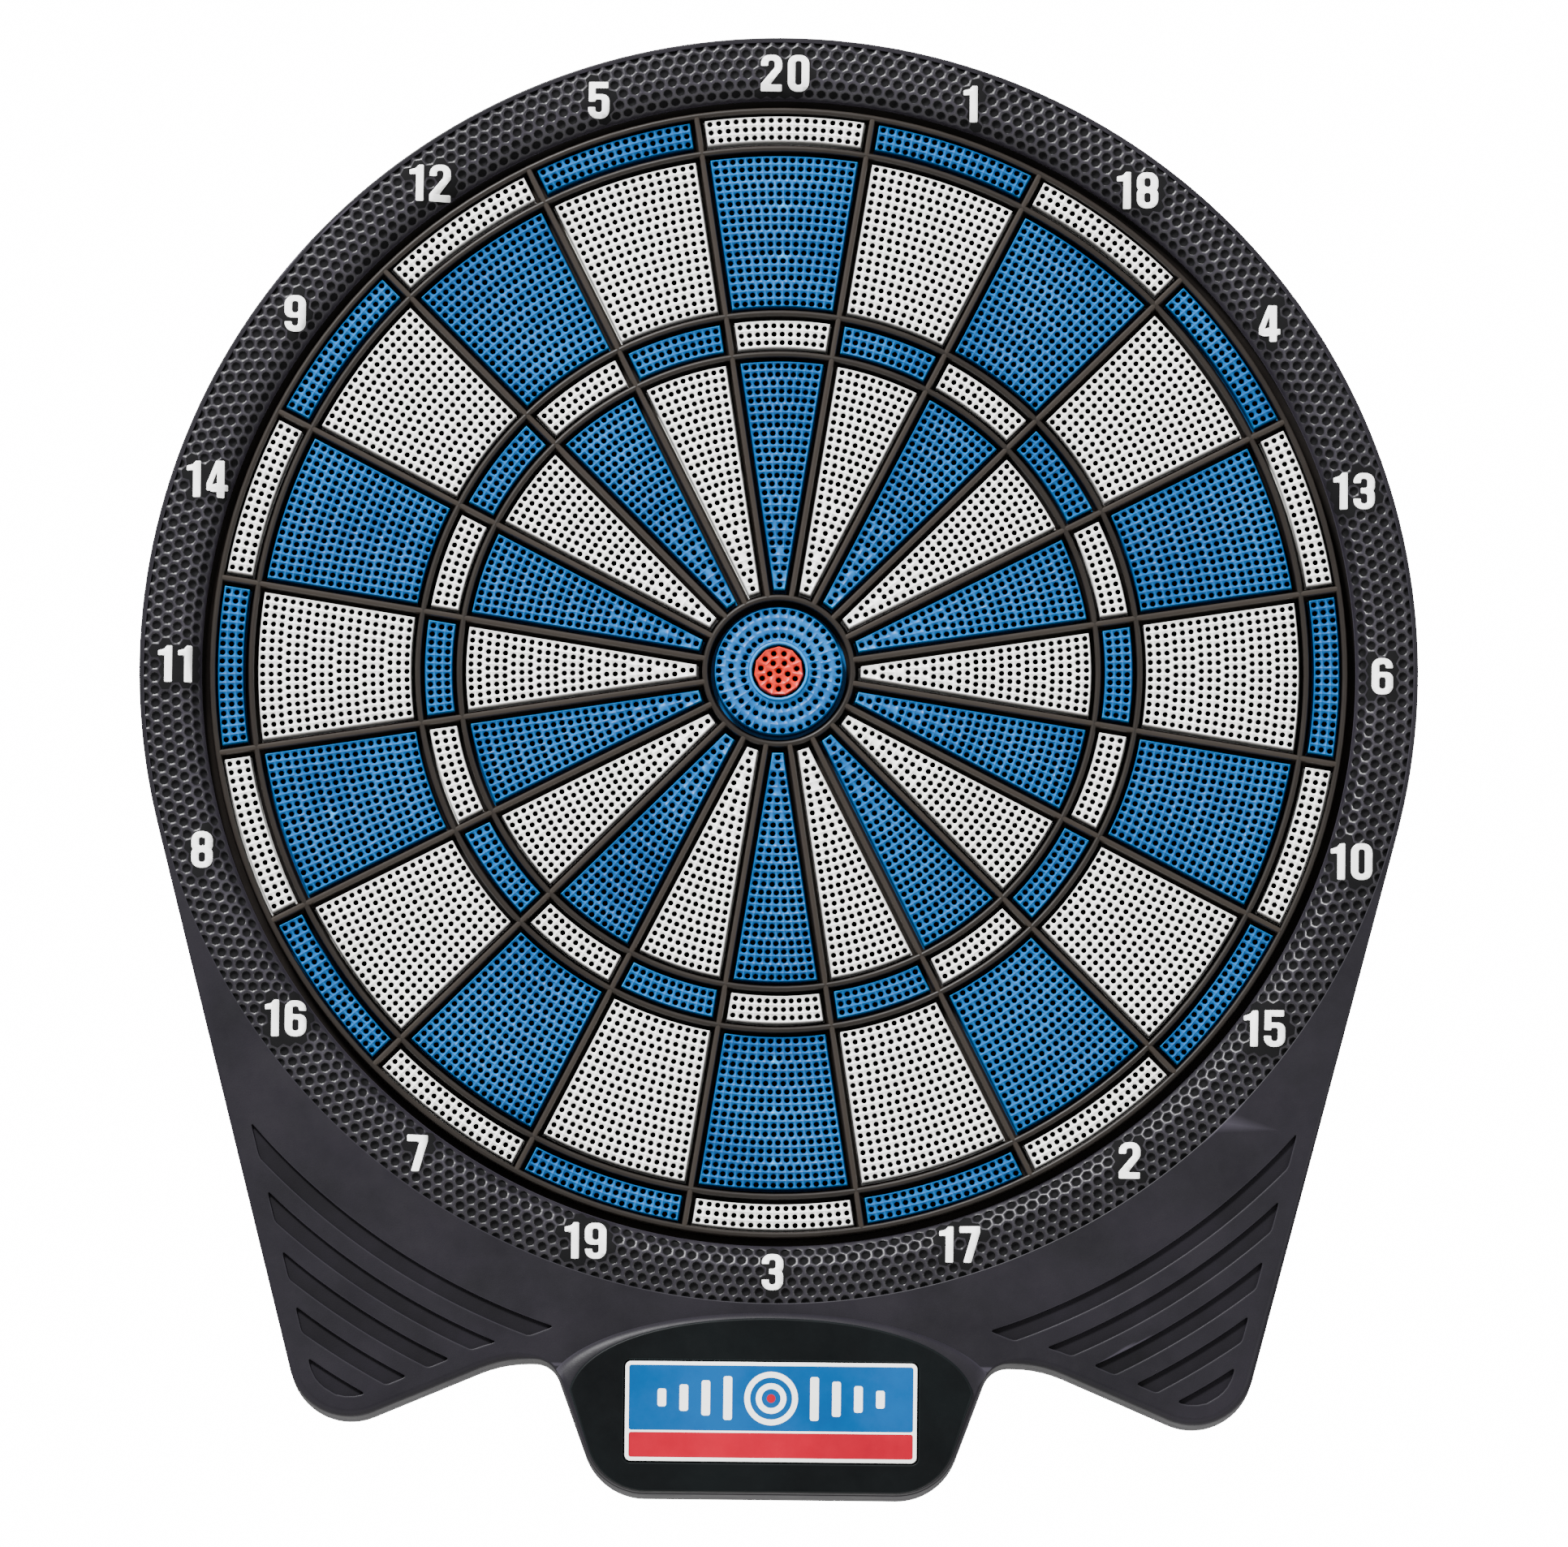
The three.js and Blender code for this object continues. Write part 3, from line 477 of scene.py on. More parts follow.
def front_pocket(shape, outline, face, depth, floor_finish=0):
    """A blind hollow in a face that looks to the front. Returns the line to cut from the face."""
    edge, mouth = kept_flat(shape, outline, face)
    lip = shape.line(inset_outline(outline, -POCKET_LIP * 0.3), face - POCKET_LIP * 0.3)
    throat = shape.line(outline, face - POCKET_LIP)
    foot = shape.line(inset_outline(outline, 0.1), face - depth + 0.15)
    floor = shape.line(inset_outline(outline, 0.25), face - depth)
    shape.bands([mouth, lip, throat])
    shape.bands([throat, foot, floor], floor_finish)
    shape.fill(floor, finish=floor_finish)
    return edge


def back_pocket(shape, outline, face, depth):
    """A blind hollow in a face that looks to the wall. Returns the line to cut from the face."""
    edge, mouth = kept_flat(shape, outline, face, front=False)
    throat = shape.line(outline, face + POCKET_LIP)
    floor = shape.line(outline, face + depth)
    shape.bands([floor, throat, mouth])
    shape.fill(floor, front=False)
    return edge


def piece(name, data, materials, body, stands_for=(), crease=35):
    """Puts a mesh in the scene as a piece of the object."""
    made = bpy.data.objects.new(name, data)
    bpy.context.scene.collection.objects.link(made)
    for material in materials:
        data.materials.append(material)
    data.shade_smooth()
    data.set_sharp_from_angle(angle=math.radians(crease))
    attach(made, body)
    if stands_for:
        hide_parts(*stands_for)
    return made


# ---------------------------------------------------------------- finishes

def tint(code):
    """A web colour as the renderer's linear red, green, blue and alpha."""
    values = [int(code[i:i + 2], 16) / 255 for i in (0, 2, 4)]
    return (*[v / 12.92 if v <= 0.04045 else ((v + 0.055) / 1.055) ** 2.4 for v in values], 1)


def coloured_finish(name, dark, colour, edge, roughness, grain, relief, coat=0.0, specular=0.5):
    """A body colour with a slow drift of shade, pale edges, a fine grain and handling marks.

    It serves the moulded plastics, and with other values the rubber, film, hardboard and paint. The shades
    are web colours. The edge shade is laid where the surface bends sharply: partly wear, and partly a painted
    highlight on crowns and rims. The grain's pitch and its relief are in millimetres.
    """
    material = bpy.data.materials.new(name)
    material.use_nodes = True
    nodes, links = material.node_tree.nodes, material.node_tree.links
    nodes.clear()

    place = nodes.new("ShaderNodeTexCoord")
    place.label = "place on the piece"

    drift = nodes.new("ShaderNodeTexNoise")
    drift.label = "slow drift of the shade"
    drift.inputs["Scale"].default_value = 28
    drift.inputs["Detail"].default_value = 5
    drift.inputs["Roughness"].default_value = 0.62
    shade = nodes.new("ShaderNodeValToRGB")
    shade.label = "shade range of the body"
    shade.color_ramp.elements[0].position = 0.3
    shade.color_ramp.elements[0].color = tint(dark)
    shade.color_ramp.elements[1].position = 0.62
    shade.color_ramp.elements[1].color = tint(colour)
    form = nodes.new("ShaderNodeNewGeometry")
    form.label = "how sharp the surface bends"
    # Pale edges where the surface bends sharply: partly wear, partly a painted highlight on crowns and rims
    wear_and_highlight_mask = nodes.new("ShaderNodeMapRange")
    wear_and_highlight_mask.label = "where edges rub pale and take a painted highlight"
    wear_and_highlight_mask.inputs["From Min"].default_value = 0.516
    wear_and_highlight_mask.inputs["From Max"].default_value = 0.596
    wear_and_highlight_mask.inputs["To Max"].default_value = 0.75
    paint = nodes.new("ShaderNodeMix")
    paint.label = "wear and painted highlight on edges over the shade"
    paint.data_type = "RGBA"
    paint.inputs["B"].default_value = tint(edge)

    marks = nodes.new("ShaderNodeTexNoise")
    marks.label = "handling marks"
    marks.inputs["Scale"].default_value = 60
    marks.inputs["Detail"].default_value = 7
    marks.inputs["Roughness"].default_value = 0.7
    gloss = nodes.new("ShaderNodeMapRange")
    gloss.label = "gloss between marks"
    gloss.inputs["From Min"].default_value = 0.3
    gloss.inputs["From Max"].default_value = 0.7
    gloss.inputs["To Min"].default_value = roughness - 0.07
    gloss.inputs["To Max"].default_value = roughness + 0.09

    grit = nodes.new("ShaderNodeTexNoise")
    grit.label = "fine grain"
    grit.inputs["Scale"].default_value = 1 / (grain * MM)
    grit.inputs["Detail"].default_value = 3
    grit.inputs["Roughness"].default_value = 0.55
    bump = nodes.new("ShaderNodeBump")
    bump.label = "grain as relief"
    bump.inputs["Strength"].default_value = 0.6
    bump.inputs["Distance"].default_value = relief * MM

    surface = nodes.new("ShaderNodeBsdfPrincipled")
    surface.label = "coloured body"
    surface.inputs["Specular IOR Level"].default_value = specular
    surface.inputs["Coat Weight"].default_value = coat
    surface.inputs["Coat Roughness"].default_value = 0.22
    output = nodes.new("ShaderNodeOutputMaterial")
    output.label = "surface"

    links.new(place.outputs["Object"], drift.inputs["Vector"])
    links.new(drift.outputs["Fac"], shade.inputs["Fac"])
    links.new(form.outputs["Pointiness"], wear_and_highlight_mask.inputs["Value"])
    links.new(wear_and_highlight_mask.outputs["Result"], paint.inputs["Factor"])
    links.new(shade.outputs["Color"], paint.inputs["A"])
    links.new(paint.outputs["Result"], surface.inputs["Base Color"])
    links.new(place.outputs["Object"], marks.inputs["Vector"])
    links.new(marks.outputs["Fac"], gloss.inputs["Value"])
    links.new(gloss.outputs["Result"], surface.inputs["Roughness"])
    links.new(place.outputs["Object"], grit.inputs["Vector"])
    links.new(grit.outputs["Fac"], bump.inputs["Height"])
    links.new(bump.outputs["Normal"], surface.inputs["Normal"])
    links.new(surface.outputs["BSDF"], output.inputs["Surface"])

    groups = {"colour": [drift, shade, form, wear_and_highlight_mask, paint], "gloss": [marks, gloss], "relief": [grit, bump]}
    for row, (effect, members) in enumerate(groups.items()):
        box = nodes.new("NodeFrame")
        box.label = effect
        for column, member in enumerate(members):
            member.parent = box
            member.location = (-900 + 200 * column, 500 - 420 * row)
    place.location = (-1200, 100)
    surface.location = (300, 200)
    output.location = (600, 200)
    return material


def zinc_steel(name, dark, colour, roughness):
    """Zinc-plated or nickel-plated steel: a cloudy passivated shade with fine drawn scratches."""
    material = bpy.data.materials.new(name)
    material.use_nodes = True
    nodes, links = material.node_tree.nodes, material.node_tree.links
    nodes.clear()

    place = nodes.new("ShaderNodeTexCoord")
    place.label = "place on the piece"
    cloud = nodes.new("ShaderNodeTexNoise")
    cloud.label = "clouds in the plating"
    cloud.inputs["Scale"].default_value = 350
    cloud.inputs["Detail"].default_value = 4
    shade = nodes.new("ShaderNodeValToRGB")
    shade.label = "plating shades"
    shade.color_ramp.elements[0].position = 0.35
    shade.color_ramp.elements[0].color = tint(dark)
    shade.color_ramp.elements[1].position = 0.65
    shade.color_ramp.elements[1].color = tint(colour)
    stretch = nodes.new("ShaderNodeMapping")
    stretch.label = "draws the scratches out lengthwise"
    stretch.inputs["Scale"].default_value = (1, 12, 12)
    scratch = nodes.new("ShaderNodeTexNoise")
    scratch.label = "fine scratches"
    scratch.inputs["Scale"].default_value = 900
    scratch.inputs["Detail"].default_value = 2
    polish = nodes.new("ShaderNodeMapRange")
    polish.label = "gloss along the scratches"
    polish.inputs["To Min"].default_value = roughness - 0.1
    polish.inputs["To Max"].default_value = roughness + 0.15
    bump = nodes.new("ShaderNodeBump")
    bump.label = "scratch relief"
    bump.inputs["Strength"].default_value = 0.3
    bump.inputs["Distance"].default_value = 0.02 * MM
    surface = nodes.new("ShaderNodeBsdfPrincipled")
    surface.label = "plated steel"
    surface.inputs["Metallic"].default_value = 1
    output = nodes.new("ShaderNodeOutputMaterial")
    output.label = "surface"

    links.new(place.outputs["Object"], cloud.inputs["Vector"])
    links.new(cloud.outputs["Fac"], shade.inputs["Fac"])
    links.new(shade.outputs["Color"], surface.inputs["Base Color"])
    links.new(place.outputs["Object"], stretch.inputs["Vector"])
    links.new(stretch.outputs["Vector"], scratch.inputs["Vector"])
    links.new(scratch.outputs["Fac"], polish.inputs["Value"])
    links.new(polish.outputs["Result"], surface.inputs["Roughness"])
    links.new(scratch.outputs["Fac"], bump.inputs["Height"])
    links.new(bump.outputs["Normal"], surface.inputs["Normal"])
    links.new(surface.outputs["BSDF"], output.inputs["Surface"])

    groups = {"colour": [cloud, shade], "scratches": [stretch, scratch, polish, bump]}
    for row, (effect, members) in enumerate(groups.items()):
        box = nodes.new("NodeFrame")
        box.label = effect
        for column, member in enumerate(members):
            member.parent = box
            member.location = (-900 + 200 * column, 300 - 420 * row)
    place.location = (-1200, 100)
    surface.location = (300, 200)
    output.location = (600, 200)
    return material


# The third shade of each finish colours its sharp edges: partly wear, partly a painted highlight.
CASING = coloured_finish(
    "casing_plastic", "111014", "19171c", "35323a", roughness=0.44, grain=0.55, relief=0.05, specular=0.12
)
# Groove floors and lower walls: the casing plastic, rougher, and painted darker as the shade in the grooves.
GROOVE_PAINTED_SHADE = coloured_finish(
    "groove_plastic_painted_shade", "0a090c", "131116", "1c1a20", roughness=0.62, grain=0.5, relief=0.06, specular=0.08
)
CATCH = coloured_finish(
    "catch_ring_plastic", "121015", "1a181d", "524e59", roughness=0.36, grain=0.5, relief=0.04, specular=0.26
)
WEB = coloured_finish(
    "web_plastic", "0d0b0a", "171412", "2b2622", roughness=0.42, grain=0.5, relief=0.03, specular=0.12
)
BLUE = coloured_finish(
    "key_plastic_blue", "00457e", "005896", "0092d8", roughness=0.42, grain=0.4, relief=0.03, specular=0.22
)
WHITE = coloured_finish(
    "key_plastic_white", "ecebe8", "f8f7f5", "ffffff", roughness=0.38, grain=0.4, relief=0.03
)
RED = coloured_finish(
    "key_plastic_red", "a80c00", "c41400", "f84830", roughness=0.42, grain=0.4, relief=0.03, specular=0.25
)
SLATE = coloured_finish(
    "fascia_plastic", "050607", "090c0d", "22282a", roughness=0.42, grain=0.6, relief=0.02, specular=0.06
)
# Near black in the depths of holes and dimples as painted shade; also the smooth black halo round each
# number.
PAINTED_HOLE_SHADE_AND_HALO_BLACK = coloured_finish(
    "painted_hole_shade_and_halo_black", "060607", "0a0a0b", "0c0c0d", roughness=0.8, grain=0.6, relief=0.02, specular=0.1
)
ZINC = zinc_steel("zinc_plate", "8e9196", "b9bcc0", roughness=0.32)
NICKEL = zinc_steel("nickel_plate", "a39f95", "cdc8bb", roughness=0.24)
RUBBER = coloured_finish(
    "mat_rubber", "0f0f10", "1a1a1c", "333336", roughness=0.75, grain=0.9, relief=0.06, specular=0.3
)
FILM = coloured_finish(
    "printed_film", "b9b29a", "cfc9b4", "e6e1d0", roughness=0.3, grain=1.2, relief=0.01, coat=0.3
)
HARDBOARD = coloured_finish(
    "hardboard", "4a3220", "6b4a2f", "8b6847", roughness=0.85, grain=0.35, relief=0.12, specular=0.2
)
SOLDER_MASK = coloured_finish(
    "solder_mask", "0c4a26", "12633a", "2c8a58", roughness=0.35, grain=0.8, relief=0.02, coat=0.4
)
DARK_PARTS = coloured_finish(
    "dark_parts", "101012", "1c1c20", "3b3b42", roughness=0.5, grain=0.5, relief=0.04
)
SLEEVING = coloured_finish(
    "lead_sleeving", "8f1512", "b3201a", "d8453c", roughness=0.42, grain=0.3, relief=0.02
)
SLEEVING_DARK = coloured_finish(
    "lead_sleeving_dark", "141416", "222226", "48484e", roughness=0.42, grain=0.3, relief=0.02
)
CELL_SLEEVE = coloured_finish(
    "cell_sleeve", "26405e", "35577e", "6f8fb4", roughness=0.28, grain=2, relief=0.02, coat=0.5
)
BADGE_WHITE = coloured_finish(
    "badge_white", "e9e9e6", "f6f6f4", "ffffff", roughness=0.36, grain=0.4, relief=0.01, coat=0.3
)
BADGE_BLUE = coloured_finish(
    "badge_blue", "003a6c", "00467c", "0c5f98", roughness=0.36, grain=0.4, relief=0.01, specular=0.12
)
BADGE_RED = coloured_finish(
    "badge_red", "86001a", "9c0020", "b01834", roughness=0.36, grain=0.4, relief=0.01, specular=0.12
)
INK_WHITE = coloured_finish(
    "white_ink", "f4f4f2", "ffffff", "ffffff", roughness=0.45, grain=0.3, relief=0.02
)

# ---------------------------------------------------------------- keys

def pillow(x, y, holes):
    """How far the surface lies below its crown at a point between holes."""
    nearest = min(math.hypot(x - hx, y - hy) for hx, hy in holes)
    return PILLOW_DEPTH * max(0, min(1, (PILLOW_REACH - nearest) / PILLOW_RUN))


def perforated(shape, rows, edges, limits, top):
    """A field of holes between two radii. Each row is (radius, hole bearings, bearings between holes).

    Returns the lines of points along every edge between rows. On a full turn, the ends are one point.
    Bearings closer than the merge gap share a point, so that no cell gets a sliver of an edge.
    """
    holes = [[polar(radius, bearing) for bearing in bearings] for radius, bearings, _ in rows]
    lines, places = [], []
    for i, edge in enumerate(edges):
        near = [n for n in (i - 1, i) if 0 <= n < len(rows)]
        start, end = limits(edge)
        marks = sorted((bearing, n, k + 1) for n in near for k, bearing in enumerate(rows[n][2]))
        bearings, where = [start], {}
        for bearing, n, k in marks:
            if bearing - bearings[-1] > MERGE_GAP / edge:
                bearings.append(bearing)
            where[n, k] = len(bearings) - 1
        bearings.append(end)
        whole = end - start > 6
        close = [h for n in near for h in holes[n]]
        line = []
        for bearing in bearings[:-1] if whole else bearings:
            x, y = polar(edge, bearing)
            line.append(shape.point(x, y, top - pillow(x, y, close)))
        if whole:
            line.append(line[0])
        for n in near:
            where[n, 0] = 0
            where[n, len(rows[n][1])] = len(bearings) - 1
        lines.append(line)
        places.append(where)
    for n in range(len(rows)):
        for k, centre in enumerate(holes[n]):
            low = lines[n][places[n][n, k]:places[n][n, k + 1] + 1]
            high = lines[n + 1][places[n + 1][n, k]:places[n + 1][n, k + 1] + 1]
            hole(shape, low + high[::-1], centre, top)
    return lines


def hole(shape, around, centre, top):
    """One hole for a dart's point, with its dished mouth. Its depth is in the second finish, painted near
    black as shade.
    """
    mouth = shape.line(circle(HOLE_MOUTH_RADIUS, HOLE_SIDES, *centre), top - MOUTH_DROP)
    throat = shape.line(circle(HOLE_RADIUS, HOLE_SIDES, *centre), top - THROAT_DROP)
    floor = shape.line(circle(HOLE_RADIUS, HOLE_SIDES, *centre), top - HOLE_DEPTH)
    shape.star(around, mouth, centre)
    shape.band(mouth, throat)
    # Below the throat the hole is painted near black: painted shade down the hole.
    shape.band(throat, floor, 1)
    shape.face(floor, 1)


def side_bearing(radius, inset):
    """Where a line that keeps an inset from the sector line crosses a radius."""
    return HALF_SECTOR - math.asin(inset / radius)


def key_shape(inner, outer, counts):
    """One scoring key of the sector at the top, with its flange behind the bars."""
    shape = Shape()
    face_inset = KEY_SIDE_INSET + KEY_EDGE
    rows = []
    for radius, count in counts:
        reach = side_bearing(radius, KEY_SIDE_INSET) - HOLE_EDGE_MARGIN / radius
        bearings = [0] if count == 1 else [reach * (2 * k / (count - 1) - 1) for k in range(count)]
        rows.append((radius, bearings, [(a + b) / 2 for a, b in zip(bearings, bearings[1:])]))
    middles = [(a[0] + b[0]) / 2 for a, b in zip(rows, rows[1:])]
    edges = [inner + KEY_EDGE, *middles, outer - KEY_EDGE]

    def limits(radius):
        return -side_bearing(radius, face_inset), side_bearing(radius, face_inset)

    lines = perforated(shape, rows, edges, limits, KEY_FRONT)

    rim = [(i, "low") for i in lines[0]] + [(line[-1], "side") for line in lines[1:-1]]
    rim += [(i, "high") for i in lines[-1][::-1]] + [(line[0], "side") for line in lines[-2:0:-1]]
    fractions = []
    for i, kind in rim:
        x, y, _ = shape.points[i]
        radius = math.hypot(x, y)
        fractions.append((kind, radius, math.atan2(x, y) / side_bearing(radius, face_inset)))

    def around(growth, depth):
        ends = {"low": inner - growth, "high": outer + growth}
        outline = []
        for kind, radius, fraction in fractions:
            at = ends.get(kind, radius)
            outline.append(polar(at, fraction * side_bearing(at, KEY_SIDE_INSET - growth)))
        return shape.line(outline, depth)

    walls = [
        around(FLANGE_GROWTH, KEY_BACK),
        around(FLANGE_GROWTH, FLANGE_FRONT),
        around(0, FLANGE_FRONT),
        around(0, KEY_FRONT - KEY_SHOULDER_DROPS[0]),
        around(-KEY_EDGE * 0.4, KEY_FRONT - KEY_SHOULDER_DROPS[1]),
        [i for i, _ in rim],
    ]
    shape.bands(walls)
    shape.fill(walls[0], front=False)
    return shape


def full_turn_rows(counts):
    rows = []
    for radius, count in counts:
        between = [TURN * k / count for k in range(1, count)]
        rows.append((radius, [TURN * (k + 0.5) / count for k in range(count)], between))
    return rows


def ring_at(shape, ring, radius, depth):
    """The points of a ring once more, moved to another radius and depth."""
    outline = []
    for i in ring:
        x, y, _ = shape.points[i]
        outline.append((x * radius / math.hypot(x, y), y * radius / math.hypot(x, y)))
    return shape.line(outline, depth)


def outer_bull_shape():
    """The blue ring round the bull's eye: a smooth raised collar, then three rows of holes."""
    shape = Shape()
    rows = full_turn_rows(OUTER_BULL_ROWS)
    lines = perforated(shape, rows, OUTER_BULL_EDGES, lambda radius: (0, TURN), KEY_FRONT)
    inner_line, outer_line = lines[0][-2::-1], lines[-1][-2::-1]
    bore = [ring_at(shape, inner_line, *at) for at in OUTER_BULL_COLLAR]
    shape.bands([inner_line] + bore[::-1])
    outside = [ring_at(shape, outer_line, *at) for at in OUTER_BULL_SKIRT]
    shape.bands(outside + [outer_line])
    shape.fill(outside[0], [bore[0]], front=False)
    return shape


def inner_bull_shape():
    """The red bull's eye, with one hole in the middle and two rows round it."""
    shape = Shape()
    rows = full_turn_rows(INNER_BULL_ROWS)
    lines = perforated(shape, rows, INNER_BULL_EDGES, lambda radius: (0, TURN), INNER_BULL_FRONT)
    hole(shape, lines[0][-2::-1], (0, 0), INNER_BULL_FRONT)
    edge = lines[-1][-2::-1]
    walls = [ring_at(shape, edge, *at) for at in INNER_BULL_SIDE]
    shape.bands(walls + [edge])
    shape.fill(walls[0], front=False)
    return shape


for bed, (inner, outer, counts) in KEYS.items():
    shape = key_shape(inner, outer, counts)
    for i, number in enumerate(NUMBERS):
        blue = (i % 2 == 0) == (bed in ("inner", "outer"))
        name = f"key_{number}_{bed}"
        piece(
            name,
            shape.mesh(name, 2 * HALF_SECTOR * i),
            [BLUE if blue else WHITE, PAINTED_HOLE_SHADE_AND_HALO_BLACK],
            f"number_{number}",
            [f"keys_{number}"],
            crease=55,
        )
piece("key_outer_bull", outer_bull_shape().mesh("key_outer_bull"), [BLUE, PAINTED_HOLE_SHADE_AND_HALO_BLACK],
      "outer_bull_key", ["outer_bull"], crease=55)
piece("key_inner_bull", inner_bull_shape().mesh("key_inner_bull"), [RED, PAINTED_HOLE_SHADE_AND_HALO_BLACK],
      "inner_bull_key", ["inner_bull"], crease=55)

# ---------------------------------------------------------------- web of bars

def bar_section(foot):
    """Half widths and depths of a bar, from its foot on one side over the crown to the other side."""
    side = [
        (foot, BAR_BACK),
        (foot, BAR_FOOT_FRONT - 0.4),
        (foot - 0.3, BAR_FOOT_FRONT),
        (BAR_RIDGE + 0.35, BAR_FOOT_FRONT + 0.5),
        (BAR_RIDGE, BAR_FOOT_FRONT + 1.3),
        (BAR_RIDGE, BAR_FRONT - 0.55),
        (BAR_RIDGE * 0.75, BAR_FRONT - 0.15),
        (0, BAR_FRONT),
    ]
    return side + [(-half, depth) for half, depth in side[-2::-1]]


BAR_SECTION = bar_section(BAR_FOOT)
RIM_BAR_SECTION = bar_section(RIM_BAR_FOOT)


def web_rings():
    """The round bars and the flange at the rim: closed sections turned about the bull by a Screw modifier."""
    sections = []
    for radius in BAR_RADII:
        section = RIM_BAR_SECTION if radius == BAR_RADII[-1] else BAR_SECTION
        sections.append([(radius + half, depth) for half, depth in section])
    points, edges = [], []
    for section in [*sections, WEB_FLANGE]:
        first, count = len(points), len(section)
        points += [(radius * MM, -depth * MM, 0) for radius, depth in section]
        edges += [(first + i, first + (i + 1) % count) for i in range(count)]
    data = bpy.data.meshes.new("web_rings")
    data.from_pydata(points, edges, [])
    made = piece("web_rings", data, [WEB], "casing", ["spider"])
    turn = made.modifiers.new("turn about the bull", "SCREW")
    turn.axis = "Y"
    turn.steps = turn.render_steps = WEB_STEPS
    turn.use_merge_vertices = True
    turn.merge_threshold = 0.01 * MM
    turn.use_smooth_shade = True
    turn.use_normal_calculate = True


web_rings()

spokes = Shape()
for i in range(len(NUMBERS)):
    bearing = HALF_SECTOR * (2 * i + 1)
    across = (math.cos(bearing), -math.sin(bearing))
    ends = []
    for radius in (BAR_RADII[0] + BAR_OVERLAP, BAR_RADII[-1] - BAR_OVERLAP):
        x, y = polar(radius, bearing)
        ends.append([spokes.point(x + w * across[0], y + w * across[1], d) for w, d in BAR_SECTION])
    inner_end, outer_end = ends
    for k in range(len(BAR_SECTION)):
        n = (k + 1) % len(BAR_SECTION)
        spokes.face((inner_end[k], outer_end[k], outer_end[n], inner_end[n]))
    spokes.face(inner_end)
    spokes.face(outer_end[::-1])
piece("web_spokes", spokes.mesh("web_spokes"), [WEB], "casing", ["spider"], crease=40)

# ---------------------------------------------------------------- numbers

# Each digit is drawn 7.9 wide and 13.5 tall as corners (x, y, fillet), its own outline before its counters
DIGIT_WIDTH = 7.9
ONE_WIDTH = 5.3
DIGIT_HEIGHT = 13.5
DIGIT_GAP = 2
BOWL = 3.3
CORNER = 0.35


def counter(low, high):
    return [(2.75, low, 1), (5.15, low, 1), (5.15, high, 1), (2.75, high, 1)]


